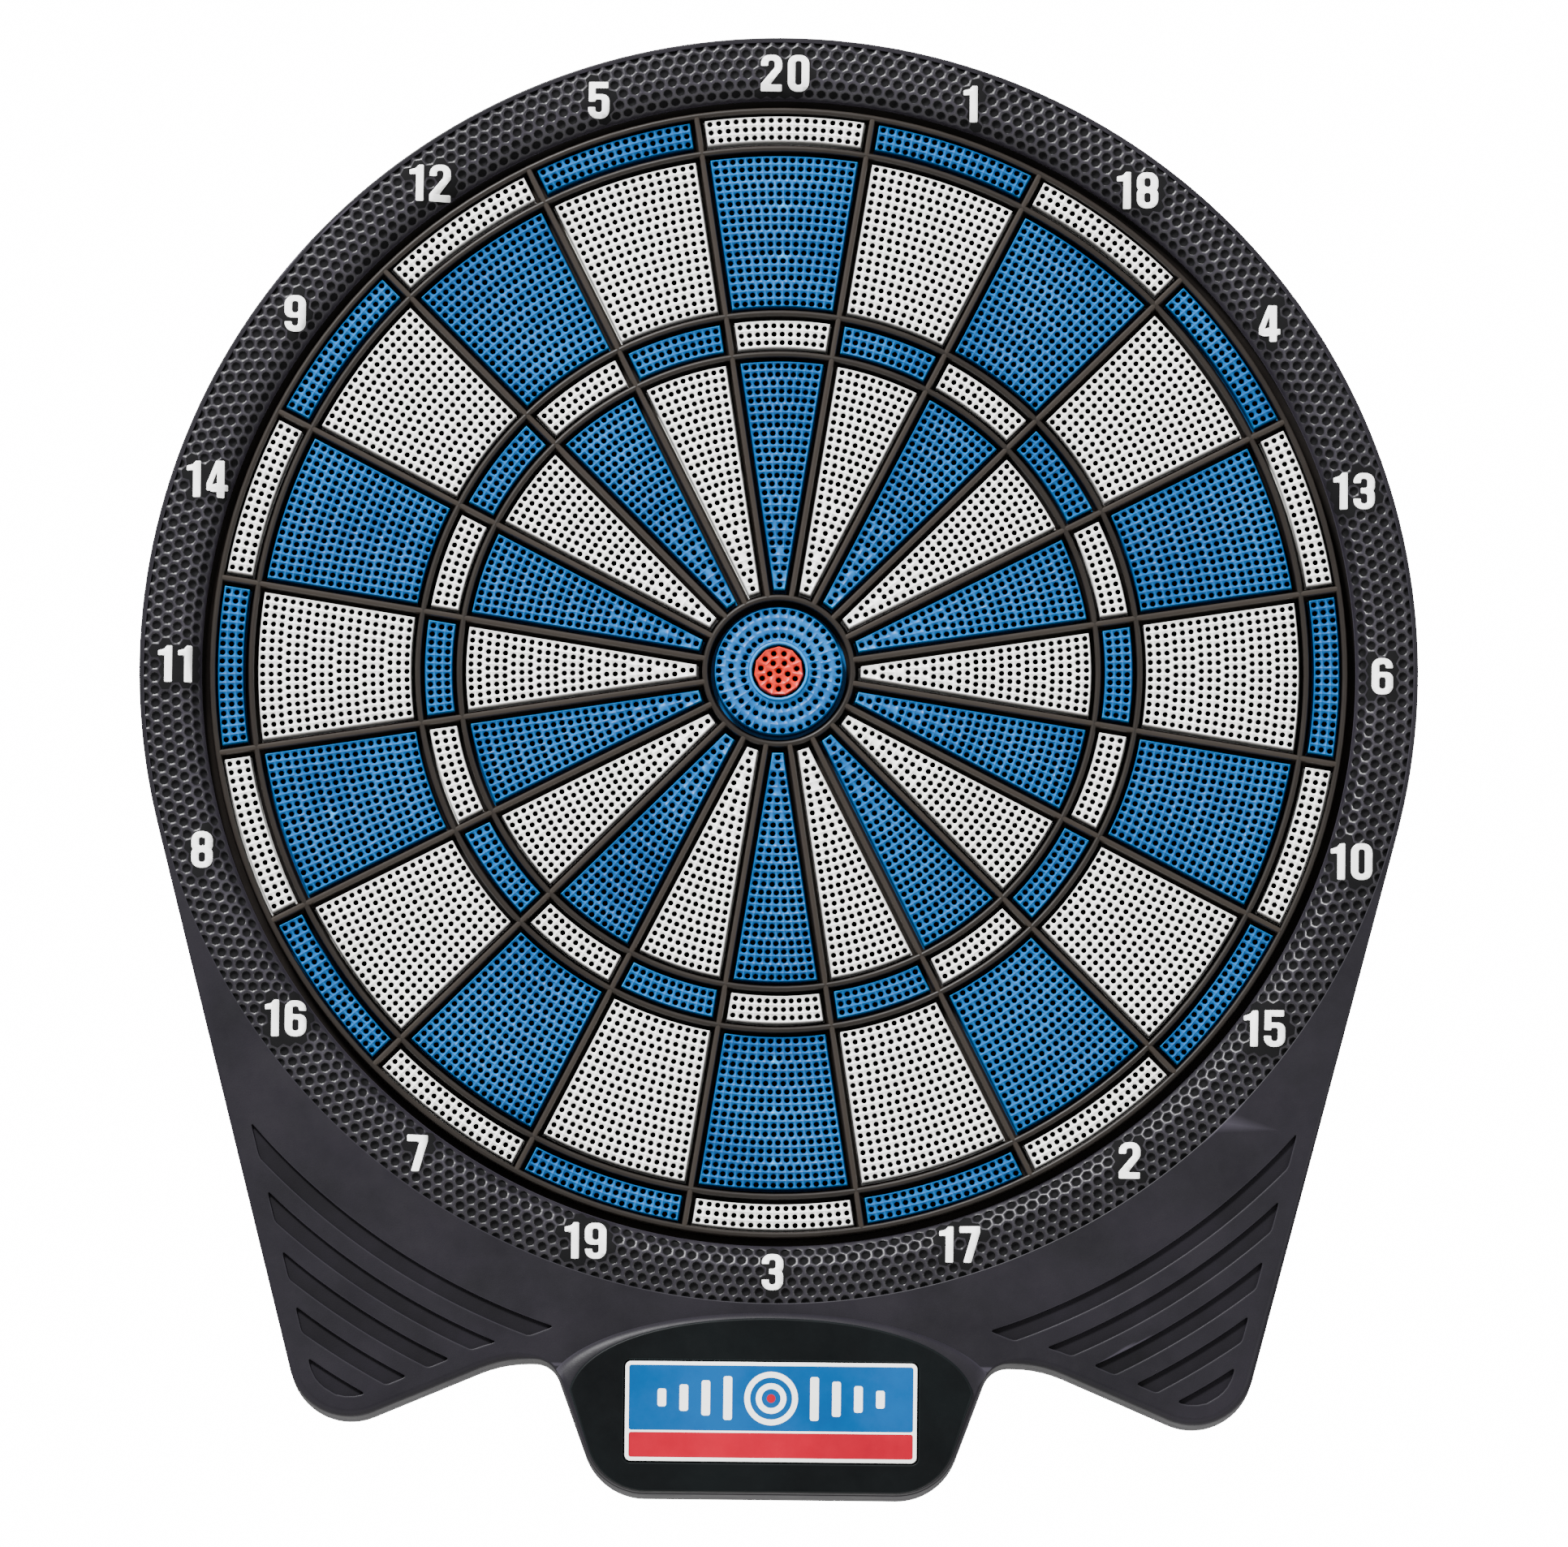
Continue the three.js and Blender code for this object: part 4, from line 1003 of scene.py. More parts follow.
ZERO = [(0, 0, BOWL), (7.9, 0, BOWL), (7.9, 13.5, BOWL), (0, 13.5, BOWL)]
SIX = [(0, 0, BOWL), (7.9, 0, BOWL), (7.9, 8.3, 2.4), (2.75, 8.3, CORNER), (2.75, 11.4, 1), (5.15, 11.4, 1),
       (5.15, 9.8, CORNER), (7.8, 9.8, CORNER), (7.8, 13.5, BOWL), (0, 13.5, BOWL)]
DIGITS = {
    "0": [ZERO, counter(2.2, 11.3)],
    "1": [[(2.4, 0, CORNER), (5.2, 0, CORNER), (5.2, 13.5, CORNER), (3.3, 13.5, CORNER), (2.3, 12.3, 1),
           (0, 11.7, CORNER), (0, 9.9, CORNER), (2.4, 10.1, CORNER)]],
    "2": [[(0, 0, CORNER), (7.8, 0, CORNER), (7.8, 2.3, CORNER), (3.4, 2.3, CORNER), (7.9, 8.1, 2.4),
           (7.9, 13.5, BOWL), (0, 13.5, BOWL), (0, 9.3, CORNER), (2.7, 9.3, CORNER), (2.7, 11.4, 1),
           (5.15, 11.4, 1), (5.15, 8.7, 1.5), (0, 2.5, 1)]],
    "3": [[(0, 0, BOWL), (7.9, 0, BOWL), (7.9, 6.3, 1.6), (7, 6.9, 0.5), (7.9, 7.5, 1.6), (7.9, 13.5, BOWL),
           (0, 13.5, BOWL), (0, 9.7, CORNER), (2.7, 9.7, CORNER), (2.7, 11.4, 1), (5.15, 11.4, 1),
           (5.15, 7.9, 1), (2.7, 7.9, CORNER), (2.7, 5.9, CORNER), (5.15, 5.9, 1), (5.15, 2.1, 1),
           (2.7, 2.1, 1), (2.7, 3.9, CORNER), (0, 3.9, CORNER)]],
    "4": [[(3.9, 0, CORNER), (6.6, 0, CORNER), (6.6, 2.6, 0.1), (7.9, 2.6, CORNER), (7.9, 4.7, CORNER),
           (6.6, 4.7, 0.1), (6.6, 13.5, CORNER), (3.4, 13.5, CORNER), (0, 5, CORNER), (0, 2.6, CORNER),
           (3.9, 2.6, 0.1)], [(2.1, 4.7, 0.1), (3.9, 4.7, 0.1), (3.9, 9.6, 0.1)]],
    "5": [[(0, 0, BOWL), (7.9, 0, BOWL), (7.9, 8.9, 2.6), (2.7, 8.9, CORNER), (2.7, 11.2, CORNER),
           (7.4, 11.2, CORNER), (7.4, 13.5, CORNER), (0.3, 13.5, CORNER), (0.2, 6.1, CORNER),
           (2.6, 6.1, CORNER), (2.9, 7, 0.4), (5.15, 7, 0.8), (5.15, 2.1, 1), (2.7, 2.1, 1),
           (2.7, 4, CORNER), (0, 4, CORNER)]],
    "6": [SIX, counter(2.1, 6.5)],
    "7": [[(1.5, 0, CORNER), (4.4, 0, CORNER), (7.6, 11.2, 1), (7.6, 13.5, CORNER), (0, 13.5, CORNER),
           (0, 11.1, CORNER), (4.7, 11.1, CORNER)]],
    "8": [[(0, 0, BOWL), (7.9, 0, BOWL), (7.9, 6.3, 1.6), (7.1, 6.9, 0.5), (7.9, 7.5, 1.6), (7.9, 13.5, BOWL),
           (0, 13.5, BOWL), (0, 7.5, 1.6), (0.8, 6.9, 0.5), (0, 6.3, 1.6)],
          counter(2.1, 5.8), counter(8, 11.4)],
    "9": [[(DIGIT_WIDTH - x, DIGIT_HEIGHT - y, f) for x, y, f in SIX],
          [(DIGIT_WIDTH - x, DIGIT_HEIGHT - y, f) for x, y, f in counter(2.1, 6.5)]],
}


def catch_depth(radius):
    """The catch ring's surface: nearly flat under the numbers, then rolling down towards the keys."""
    side = OUTER_FALL if radius > CROWN_RADIUS else INNER_ROLL
    return CROWN_FRONT - side["drop"] * (abs(radius - CROWN_RADIUS) / side["over"]) ** side["power"]


numbers_flat = Shape()
for i, number in enumerate(NUMBERS):
    digits = str(number)
    size = NUMBER_HEIGHT / DIGIT_HEIGHT
    widths = [size * (ONE_WIDTH if digit == "1" else DIGIT_WIDTH) for digit in digits]
    x, y = polar(NUMBER_RADIUS, 2 * HALF_SECTOR * i)
    x -= (sum(widths) + DIGIT_GAP * (len(digits) - 1)) / 2
    y -= NUMBER_HEIGHT / 2
    for digit, width in zip(digits, widths):
        rings = []
        for corners in DIGITS[digit]:
            outline = rounded(corners, math.radians(15))
            rings.append(numbers_flat.line([(x + size * px, y + size * py) for px, py in outline], 0))
        numbers_flat.fill(rings[0], rings[1:])
        x += width + DIGIT_GAP
NUMBER_FINDER = BVHTree.FromPolygons([Vector(p) for p in numbers_flat.points], numbers_flat.faces)

# The flat numbers are cut along a grid, so that they can follow the ring's curved surface
numbers_data = numbers_flat.mesh("numbers")
cut = bmesh.new()
cut.from_mesh(numbers_data)
cuts = round(RIM_RADIUS / NUMBER_GRID) - 1
for k in range(-cuts, cuts + 1):
    for normal in ((1, 0, 0), (0, 0, 1)):
        around = cut.verts[:] + cut.edges[:] + cut.faces[:]
        place = Vector(normal) * NUMBER_GRID * k * MM
        bmesh.ops.bisect_plane(cut, geom=around, dist=1e-7, plane_co=place, plane_no=normal)
for vert in cut.verts:
    radius = math.hypot(vert.co.x, vert.co.z) / MM
    vert.co.y = -(catch_depth(radius) + NUMBER_LIFT) * MM
cut.to_mesh(numbers_data)
cut.free()
numbers = piece("numbers", numbers_data, [INK_WHITE], "casing")
print_thickness = numbers.modifiers.new("thickness of the print", "SOLIDIFY")
print_thickness.thickness = NUMBER_THICKNESS * MM
print_thickness.offset = -1

# ---------------------------------------------------------------- catch ring

def catch_profile():
    """Length along the surface from the casing inwards, as pairs of length and radius."""
    step = 0.1
    radius, length, table = CATCH_START, 0, [(0, CATCH_START)]
    while radius > CATCH_INNER + 2 * step:
        length += math.hypot(step, catch_depth(radius) - catch_depth(radius - step))
        radius -= step
        table.append((length, radius))
    return table


CATCH_PROFILE = catch_profile()


def catch_radius(length):
    for (l0, r0), (l1, r1) in zip(CATCH_PROFILE, CATCH_PROFILE[1:]):
        if length <= l1:
            return r0 + (r1 - r0) * max(0, length - l0) / (l1 - l0)
    return CATCH_PROFILE[-1][1]


def catch_ring_shape():
    """A honeycomb of round dimples with painted shade inside, left smooth and black in a halo round each
    number.
    """
    shape = Shape()
    count = 2 * DIMPLE_COLUMNS
    column = TURN / count
    reach = 2 * DIMPLE_ROW_PITCH / 3

    def spot(length, bearing, dent=0.0):
        radius = catch_radius(length)
        return shape.point(*polar(radius, bearing), catch_depth(radius) - dent)

    lines = []
    for i in range(DIMPLE_ROWS + 1):
        length = DIMPLE_START + (i - 0.5) * DIMPLE_ROW_PITCH
        shifts = [(-reach if (m + i) % 2 else reach) / 4 for m in range(count)]
        lines.append([spot(length + shift, m * column) for m, shift in enumerate(shifts)])
    for i in range(DIMPLE_ROWS):
        length = DIMPLE_START + i * DIMPLE_ROW_PITCH
        radius = catch_radius(length)
        for m in range((i + 1) % 2, count, 2):
            after = (m + 1) % count
            outer, inner = lines[i], lines[i + 1]
            around = [inner[m - 1], inner[m], inner[after], outer[after], outer[m], outer[m - 1]]
            centre = polar(radius, m * column)
            if NUMBER_FINDER.find_nearest(Vector((*centre, 0)))[3] < HALO:
                shape.face(around, 1)
                continue
            rings = []
            for scale, dent in DIMPLE_WALL:
                ring = []
                for k in range(DIMPLE_SIDES):
                    angle = TURN * k / DIMPLE_SIDES
                    out, along = (scale * DIMPLE_RADIUS * f for f in (math.sin(angle), math.cos(angle)))
                    ring.append(spot(length - out, m * column + along / radius, dent * DIMPLE_DEPTH))
                rings.append(ring)
            shape.star(around, rings[0], centre)
            # The dimple's wall and bottom are painted near black: painted shade in the hollow.
            shape.band(*rings, 1)
            bottom = spot(length, m * column, DIMPLE_DEPTH)
            for k in range(DIMPLE_SIDES):
                shape.face((rings[1][k], rings[1][(k + 1) % DIMPLE_SIDES], bottom), 1)

    def turned(radius, depth):
        return shape.line([polar(radius, -m * column) for m in range(count)], depth)

    def anticlockwise(line):
        return [line[-m] for m in range(count)]

    lip = CATCH_INNER + 0.25
    lip_front = catch_depth(lip)
    skirt_radius, skirt_back = CATCH_SKIRT
    hidden_side = [
        (lip, lip_front),
        (CATCH_INNER, lip_front - 0.3),
        (CATCH_INNER, skirt_back),
        (skirt_radius, skirt_back),
        (skirt_radius, CATCH_BACK),
        (CATCH_OUTER, CATCH_BACK),
        (CATCH_OUTER, CATCH_EDGE_BACKS[0]),
        (CATCH_START, CATCH_EDGE_BACKS[1]),
    ]
    behind = [turned(*at) for at in hidden_side]
    shape.bands([anticlockwise(lines[-1]), *behind, anticlockwise(lines[0])])
    return shape


piece("catch_ring_dimpled", catch_ring_shape().mesh("catch_ring_dimpled"), [CATCH, PAINTED_HOLE_SHADE_AND_HALO_BLACK],
      "casing", ["catch_ring"], crease=60)

# ---------------------------------------------------------------- front casing

def groove_outlines():
    """Both fins' grooves: arcs about the bull, cut off by a line kept inside the fin's own edge."""
    field = casing_outline(GROOVE_INSET)

    def open_at(radius, angle):
        x, y = radius * math.cos(angle), radius * math.sin(angle)
        return inside(x, y, field) and y > GROOVE_FOOT[1] - GROOVE_FOOT_SLOPE * (x - GROOVE_FOOT[0])

    def limit(radius, direction):
        """Where the groove ends on a radius: walked to in steps, then found by halving."""
        step = direction * math.radians(0.5)
        near, far = GROOVE_MIDDLE, GROOVE_MIDDLE + step
        while open_at(radius, far):
            near, far = far, far + step
        for _ in range(14):
            middle = (near + far) / 2
            if open_at(radius, middle):
                near = middle
            else:
                far = middle
        return near

    outlines = []
    for i in range(GROOVE_COUNT):
        first = GROOVE_FIRST_RADIUS + i * GROOVE_PITCH
        width = GROOVE_WIDTH
        while limit(first + width, 1) - limit(first + width, -1) < 0.02:
            width -= 0.1
        ends = {-1: [], 1: []}
        for station in GROOVE_STATIONS:
            radius = first + station * width
            from_side = min(station, 1 - station) * width
            into_corner = max(0, GROOVE_CORNER - from_side)
            back = GROOVE_CORNER - math.sqrt(max(0, GROOVE_CORNER ** 2 - into_corner ** 2))
            reach = {direction: limit(radius, direction) for direction in ends}
            back = min(back / radius, 0.4 * (reach[1] - reach[-1]))
            for direction in ends:
                ends[direction].append((radius, reach[direction] - direction * back))
        outline = []
        for (radius, start), (_, end) in ((ends[-1][-1], ends[1][-1]), (ends[1][0], ends[-1][0])):
            steps = max(4, round(abs(end - start) / math.radians(1.2)))
            outline += [(radius, start + (end - start) * k / steps) for k in range(steps + 1)]
            if start < end:
                outline += ends[1][-2:0:-1]
            else:
                outline += ends[-1][1:-1]
        right = [(r * math.cos(a), r * math.sin(a)) for r, a in outline]
        outlines += [right, mirrored(right)]
    return outlines


def edge_widths(outline):
    """How wide the casing's front edge is rounded: narrow on the rim and under the pod, soft on the fins."""
    widths = []
    for x, y in outline:
        fin = 1 - smoothstep(-120, -60, y)
        beside_pod = smoothstep(76, 90, abs(x)) if y < -215 else 1
        widths.append(0.55 + 1.9 * fin * beside_pod)
    return widths


def front_casing_shape():
    """The rim and the fins in one shell, with the seat of the catch ring, the grooves and the pod."""
    shape = Shape()
    outline = casing_outline(0)
    widths = edge_widths(outline)
    back = SPLIT_LINE + CASING_GAP
    lines = [
        shape.line(inset_outline(outline, WALL), SHELF_BACK),
        shape.line(inset_outline(outline, WALL), back),
        shape.line(inset_outline(outline, 0.25), back),
        shape.line(outline, back + 0.25),
    ]
    steps = 5
    for k in range(steps + 1):
        angle = math.pi / 2 * k / steps
        insets = [w * (1 - math.cos(angle)) for w in widths]
        depths = [FACE_FRONT - w * (1 - math.sin(angle)) * 0.9 for w in widths]
        lines.append(shape.line(inset_outline(outline, insets), depths))
    for beyond in (1.16, 1.4):
        lines.append(shape.line(inset_outline(outline, [w * beyond for w in widths]), FACE_FRONT))
    shape.bands(lines)
    seat = [(SEAT_RADIUS + spread, FACE_FRONT) for spread in (0.75, 0.45, 0.28)]
    seat += [
        (SEAT_RADIUS + 0.08, FACE_FRONT - 0.1),
        (SEAT_RADIUS, FACE_FRONT - 0.3),
        (SEAT_RADIUS, SHELF_FRONT),
        (SHELF_RADIUS, SHELF_FRONT),
        (SHELF_RADIUS, SHELF_BACK),
        (SHELF_ROOT, SHELF_BACK),
    ]
    seat_lines = [shape.line(circle(radius, SEAT_SIDES), depth) for radius, depth in seat]
    shape.bands(seat_lines)
    grooves = []
    # Each groove's floor and lower walls take the second finish, darkened as painted shade.
    for line in groove_outlines():
        grooves.append(front_pocket(shape, line, FACE_FRONT, GROOVE_DEPTH, floor_finish=1))
    shape.fill(lines[-1], [seat_lines[0], *grooves])
    shape.fill(lines[0], [seat_lines[-1]], front=False)

    # The pod swells from its foot to the edge of the fascia: (share of the way in, depth)
    swell = [
        (0, FACE_FRONT - 1.5),
        (0, FACE_FRONT),
        (0.12, FACE_FRONT + 0.9),
        (0.35, FACE_FRONT + 1.7),
        (0.65, FACE_FRONT + 2.2),
        (0.9, POD_FRONT - 0.05),
        (1, POD_FRONT),
    ]
    foot, top = pod_foot_outline(), fascia_outline()
    rise = []
    for share, depth in swell:
        between = [(fx + (tx - fx) * share, fy + (ty - fy) * share) for (fx, fy), (tx, ty) in zip(foot, top)]
        rise.append(shape.line(between, depth))
    shape.bands(rise)
    shape.fill(rise[-1])
    shape.fill(rise[0], front=False)
    return shape


piece("front_casing_shell", front_casing_shape().mesh("front_casing_shell"), [CASING, GROOVE_PAINTED_SHADE],
      "casing", ["front_casing"], crease=32)

# ---------------------------------------------------------------- fascia and badge

fascia = Shape()
badge_recess = box_outline(0, BADGE_Y, BADGE_HALF[0] + 0.6, BADGE_HALF[1] + 0.6, 2.4)
slab(fascia, fascia_outline(), POD_FRONT + CASING_GAP, FASCIA_FRONT, 0.7, 4, pockets=[(badge_recess, 1.2)])
piece("fascia", fascia.mesh("fascia"), [SLATE], "casing", ["pod_fascia"])


def badge_shape():
    """A printed plate: a blue field over a red band, and a plain target between two rows of bars."""
    shape = Shape()
    half_x, half_y = BADGE_HALF
    front = FASCIA_FRONT
    outline = box_outline(0, BADGE_Y, half_x, half_y, 2)
    lines = [
        shape.line(inset_outline(outline, 0.3), front - 0.9),
        shape.line(outline, front - 0.8),
        shape.line(outline, front - 0.25),
        shape.line(inset_outline(outline, 0.08), front - 0.08),
        shape.line(inset_outline(outline, 0.3), front),
    ]
    shape.bands(lines)
    shape.fill(lines[0], front=False)

    def field(low, high):
        area = box_outline(0, (high + low) / 2, half_x - BADGE_LINE, (high - low) / 2, 0.9)
        return shape.line(area, front)

    blue_low, blue_high = BADGE_BAND[1] + BADGE_FIELD_GAP, BADGE_Y + half_y - BADGE_LINE
    middle = (blue_high + blue_low) / 2
    blue, red = field(blue_low, blue_high), field(*BADGE_BAND)
    shape.fill(lines[-1], [blue, red])
    shape.fill(red, finish=2)
    rings = [shape.line(circle(radius, 40, 0, middle), front) for radius in BADGE_RINGS]
    for k, (outer, inner) in enumerate(zip(rings, rings[1:])):
        shape.fill(outer, [inner], finish=k % 2)
    shape.fill(rings[-1], finish=2)
    bars = []
    for side in (-1, 1):
        for k in range(BADGE_BARS["count"]):
            at = side * (BADGE_BARS["first"] + BADGE_BARS["pitch"] * k)
            half_height = BADGE_BARS["tall"] - BADGE_BARS["step"] * k
            bars.append(shape.line(box_outline(at, middle, BADGE_BARS["half"], half_height, 0.8), front))
            shape.fill(bars[-1])
    shape.fill(blue, [rings[0], *bars], finish=1)
    return shape


piece("badge", badge_shape().mesh("badge"), [BADGE_WHITE, BADGE_BLUE, BADGE_RED],
      "casing", ["badge_plate"])

# ---------------------------------------------------------------- rear casing

CASE_SCREWS = [polar(CASE_SCREW_CIRCLE, math.radians(bearing)) for bearing in (25, -25, 80, -80, 125, -125)]
CASE_SCREWS += [(147, -240), (-147, -240)]


def capsule(x0, x1, y, radius, steps=6):
    """A slot with round ends, anticlockwise."""
    swings = [math.pi * k / steps for k in range(steps + 1)]
    right = [(x1 + radius * math.sin(swing), y - radius * math.cos(swing)) for swing in swings]
    left = [(x0 - radius * math.sin(swing), y + radius * math.cos(swing)) for swing in swings]
    return right + left


def rear_casing_shape():
    """The rear half of the casing, with every opening in its back wall and the box of the battery bay."""
    shape = Shape()
    outline = casing_outline(0)
    inner = inset_outline(outline, WALL)
    lines = [shape.line(inset_outline(outline, inset), 0) for inset in (2.4, 1.7)]
    rounding = 1.2
    for k in range(5):
        angle = math.pi / 2 * k / 4
        inset = rounding * (1 - math.sin(angle))
        lines.append(shape.line(inset_outline(outline, inset), rounding * (1 - math.cos(angle))))
    lines += [shape.line(outline, SPLIT_LINE - 0.25), shape.line(inset_outline(outline, 0.25), SPLIT_LINE)]
    lines += [shape.line(inner, SPLIT_LINE), shape.line(inner, BACK_WALL)]
    shape.bands(lines)

    # Openings right through the wall
    outside, inside_holes = [], []
    through = [keyhole_outline(x) for x in (KEYHOLE["x"], -KEYHOLE["x"])]
    through.append(box_outline(*SWITCH, *SWITCH_OPENING))
    for i in range(SPEAKER_SLOTS["count"]):
        offset = SPEAKER_SLOTS["pitch"] * (i - (SPEAKER_SLOTS["count"] - 1) / 2)
        half = math.sqrt(SPEAKER[2] ** 2 - offset ** 2) - SPEAKER_SLOTS["half"]
        y = SPEAKER[1] + offset
        through.append(capsule(SPEAKER[0] - half, SPEAKER[0] + half, y, SPEAKER_SLOTS["half"]))
    for i, line in enumerate(through):
        edge, mouth = kept_flat(shape, line, 0, front=False, reach=0.7 if i < 2 else 1.2)
        throat = shape.line(line, POCKET_LIP)
        far = shape.line(line, BACK_WALL)
        shape.bands([far, throat, mouth])
        outside.append(edge)
        inside_holes.append(far)

    # Wells of the case screws, each in a boss
    for x, y in CASE_SCREWS:
        well_radius, well_depth = SCREW_WELL
        outside.append(back_pocket(shape, circle(well_radius, 24, x, y), 0, well_depth))
        foot = shape.line(circle(SCREW_BOSS_RADIUS, 24, x, y), BACK_WALL)
        head = shape.line(circle(SCREW_BOSS_RADIUS, 24, x, y), SPLIT_LINE - 0.2)
        shape.band(foot, head)
        shape.fill(head)
        inside_holes.append(foot)

    # Battery bay: the door's opening with notches for its pins, the ledge, and the box behind
    half_x, half_y = DOOR_HALF
    reach, low, high, draft = PIN_NOTCH.values()
    opening = [(half_x, -half_y), (half_x, low), (reach, low + draft), (reach, high - draft),
               (half_x, high), (half_x, half_y)]
    opening = [(x, BAY_Y + y) for x, y in opening]
    opening += [(-x, y) for x, y in reversed(opening)]
    calm_x, calm_y = BAY_CALM_HALF
    calm = [shape.line(box_outline(0, BAY_Y, calm_x + k, calm_y + k, 0.6 + k), 0) for k in (0, 0.8, 1.6)]
    shape.bands(calm)
    mouth = shape.line(opening, 0)
    shape.fill(calm[0], [mouth], front=False)
    ledge_depth = BACK_WALL - 0.1
    ledge = shape.line(opening, ledge_depth)
    bay = shape.line(box_outline(0, BAY_Y, *BAY_HALF, 1), ledge_depth)
    bay_floor = shape.line(box_outline(0, BAY_Y, *BAY_HALF, 1), BAY_FRONT)
    shape.band(ledge, mouth)
    shape.fill(ledge, [bay], front=False)
    shape.band(bay_floor, bay)
    shape.fill(bay_floor, front=False)
    outside.append(calm[-1])
    collar_front = BACK_WALL + BAY_COLLAR_HEIGHT
    collar_foot = shape.line(box_outline(0, BAY_Y, *BAY_COLLAR_HALF, 1), BACK_WALL)
    collar = shape.line(box_outline(0, BAY_Y, *BAY_COLLAR_HALF, 1), collar_front)
    box_foot = shape.line(box_outline(0, BAY_Y, *BAY_BOX_HALF, 1), collar_front)
    box_top = shape.line(box_outline(0, BAY_Y, *BAY_BOX_HALF, 1), BAY_FRONT + 1.5)
    shape.band(collar_foot, collar)
    shape.fill(collar, [box_foot])
    shape.band(box_foot, box_top)
    shape.fill(box_top)
    inside_holes.append(collar_foot)

    shape.fill(lines[0], outside, front=False)
    shape.fill(lines[-1], inside_holes)
    return shape


piece("rear_casing_shell", rear_casing_shape().mesh("rear_casing_shell"), [CASING],
      "casing", ["rear_casing"], crease=32)

# ---------------------------------------------------------------- battery door, switch and case screws

def battery_door_shape():
    """A flat lid with a half-round hinge edge at its top and finger grooves near its foot.

    Returns the shape, and where the axis of its hinge lies as y and depth.
    """
    shape = Shape()
    half = DOOR_HALF[0] - DOOR_GAP
    back, front = DOOR_DEPTHS
    middle, radius = (back + front) / 2, (front - back) / 2
    foot = BAY_Y - DOOR_HALF[1] + DOOR_GAP
    hinge = BAY_Y + DOOR_HALF[1] - DOOR_GAP - radius
    section = [(foot, front - 0.2), (foot, back + 0.2), (foot + 0.06, back + 0.06), (foot + 0.2, back)]
    for k in range(DOOR_GRIPS["count"]):
        y = foot + DOOR_GRIPS["first"] + DOOR_GRIPS["pitch"] * k
        floor = back + DOOR_GRIPS["depth"]
        section += [(y - 0.8, back), (y - 0.55, floor), (y + 0.55, floor), (y + 0.8, back)]
    for k in range(9):
        angle = math.pi * (k / 8 - 0.5)
        section.append((hinge + radius * math.cos(angle), middle + radius * math.sin(angle)))
    section += [(foot + 0.2, front), (foot + 0.06, front - 0.06)]
    rounding = 0.2
    rings = []
    for x, inset in ((-half, rounding), (-half + rounding, 0), (half - rounding, 0), (half, rounding)):
        ring = []
        for y, depth in section:
            pull = inset / radius
            ring.append(shape.point(x, y + (BAY_Y - y) * inset / 25, depth + (middle - depth) * pull))
        rings.append(ring)
    along_x(shape, [ring[::-1] for ring in rings])
    return shape, hinge, middle


def along_x(shape, rings):
    """Joins closed lines that stand one after the other along x, and closes both ends."""
    for left, right in zip(rings, rings[1:]):
        for k in range(len(left)):
            n = (k + 1) % len(left)
            shape.face((left[k], right[k], right[n], left[n]))
    shape.face(rings[0])
    shape.face(rings[-1][::-1])


def rod_along_x(shape, x0, x1, y, depth, radius, sides=14):
    """A round pin with its ends broken."""
    chamfer = radius * 0.2
    thin = radius - chamfer
    rings = []
    for x, r in ((x0, thin), (x0 + chamfer, radius), (x1 - chamfer, radius), (x1, thin)):
        rings.append([shape.point(x, y + dy, depth + dz) for dy, dz in circle(r, sides)])
    along_x(shape, rings)


def outward(data):
    """Turns every face of a closed piece to look out of it."""
    made = bmesh.new()
    made.from_mesh(data)
    bmesh.ops.recalc_face_normals(made, faces=made.faces)
    made.to_mesh(data)
    made.free()
    return data


door_shape, DOOR_PIN_Y, DOOR_PIN_DEPTH = battery_door_shape()
for side in (-1, 1):
    ends = sorted((side * (DOOR_HALF[0] - DOOR_PIN["root"]), side * DOOR_PIN["reach"]))
    rod_along_x(door_shape, *ends, DOOR_PIN_Y, DOOR_PIN_DEPTH, DOOR_PIN["radius"])
piece("battery_door_lid", outward(door_shape.mesh("battery_door_lid")), [CASING],
      "door", ["battery_door"], crease=40)

# The switch's knob stands at "off": its plate behind the slot, its stem in the slot, and three ribs
slider = Shape()
knob_x, knob_y = SWITCH[0] + SWITCH_OFF, SWITCH[1]
slab(slider, box_outline(knob_x, knob_y, 5, 3.4, 0.5), back=2.5, front=4.3, rounding=0.2, steps=2)
slab(slider, box_outline(knob_x, knob_y, 2.1, 2.3, 0.5), back=0.8, front=3.5, rounding=0.2, steps=2)
for k in (-1, 0, 1):
    rib = box_outline(knob_x + KNOB_RIB_PITCH * k, knob_y, 0.42, 2, 0.3)
    slab(slider, rib, back=0.5, front=1.2, rounding=0.1, steps=2)
piece("switch_slider_knob", slider.mesh("switch_slider_knob"), [SLATE], "switch", ["switch_slider"])


def case_screw_shape(x, y):
    """A pan head with a cross recess, seen in its counterbore, and the shank behind it."""
    shape = Shape()
    arm, root = CROSS_ARM, CROSS_ROOT
    cross = [(arm, -root), (arm, root), (root, root), (root, arm), (-root, arm), (-root, root), (-arm, root),
             (-arm, -root), (-root, -root), (-root, -arm), (root, -arm), (root, -root)]
    mouth = shape.line([(x + px, y + py) for px, py in cross], SCREW_HEAD_TOP)
    floor = shape.line([(x + px * CROSS_TAPER, y + py * CROSS_TAPER) for px, py in cross], CROSS_FLOOR)
    shape.band(floor, mouth)
    shape.fill(floor, front=False)
    head = [shape.line(circle(radius, 28, x, y), depth) for radius, depth in SCREW_HEAD + SCREW_SHANK]
    shape.bands(head)
    shape.fill(head[0], [mouth], front=False)
    shape.fill(head[-1])
    return shape


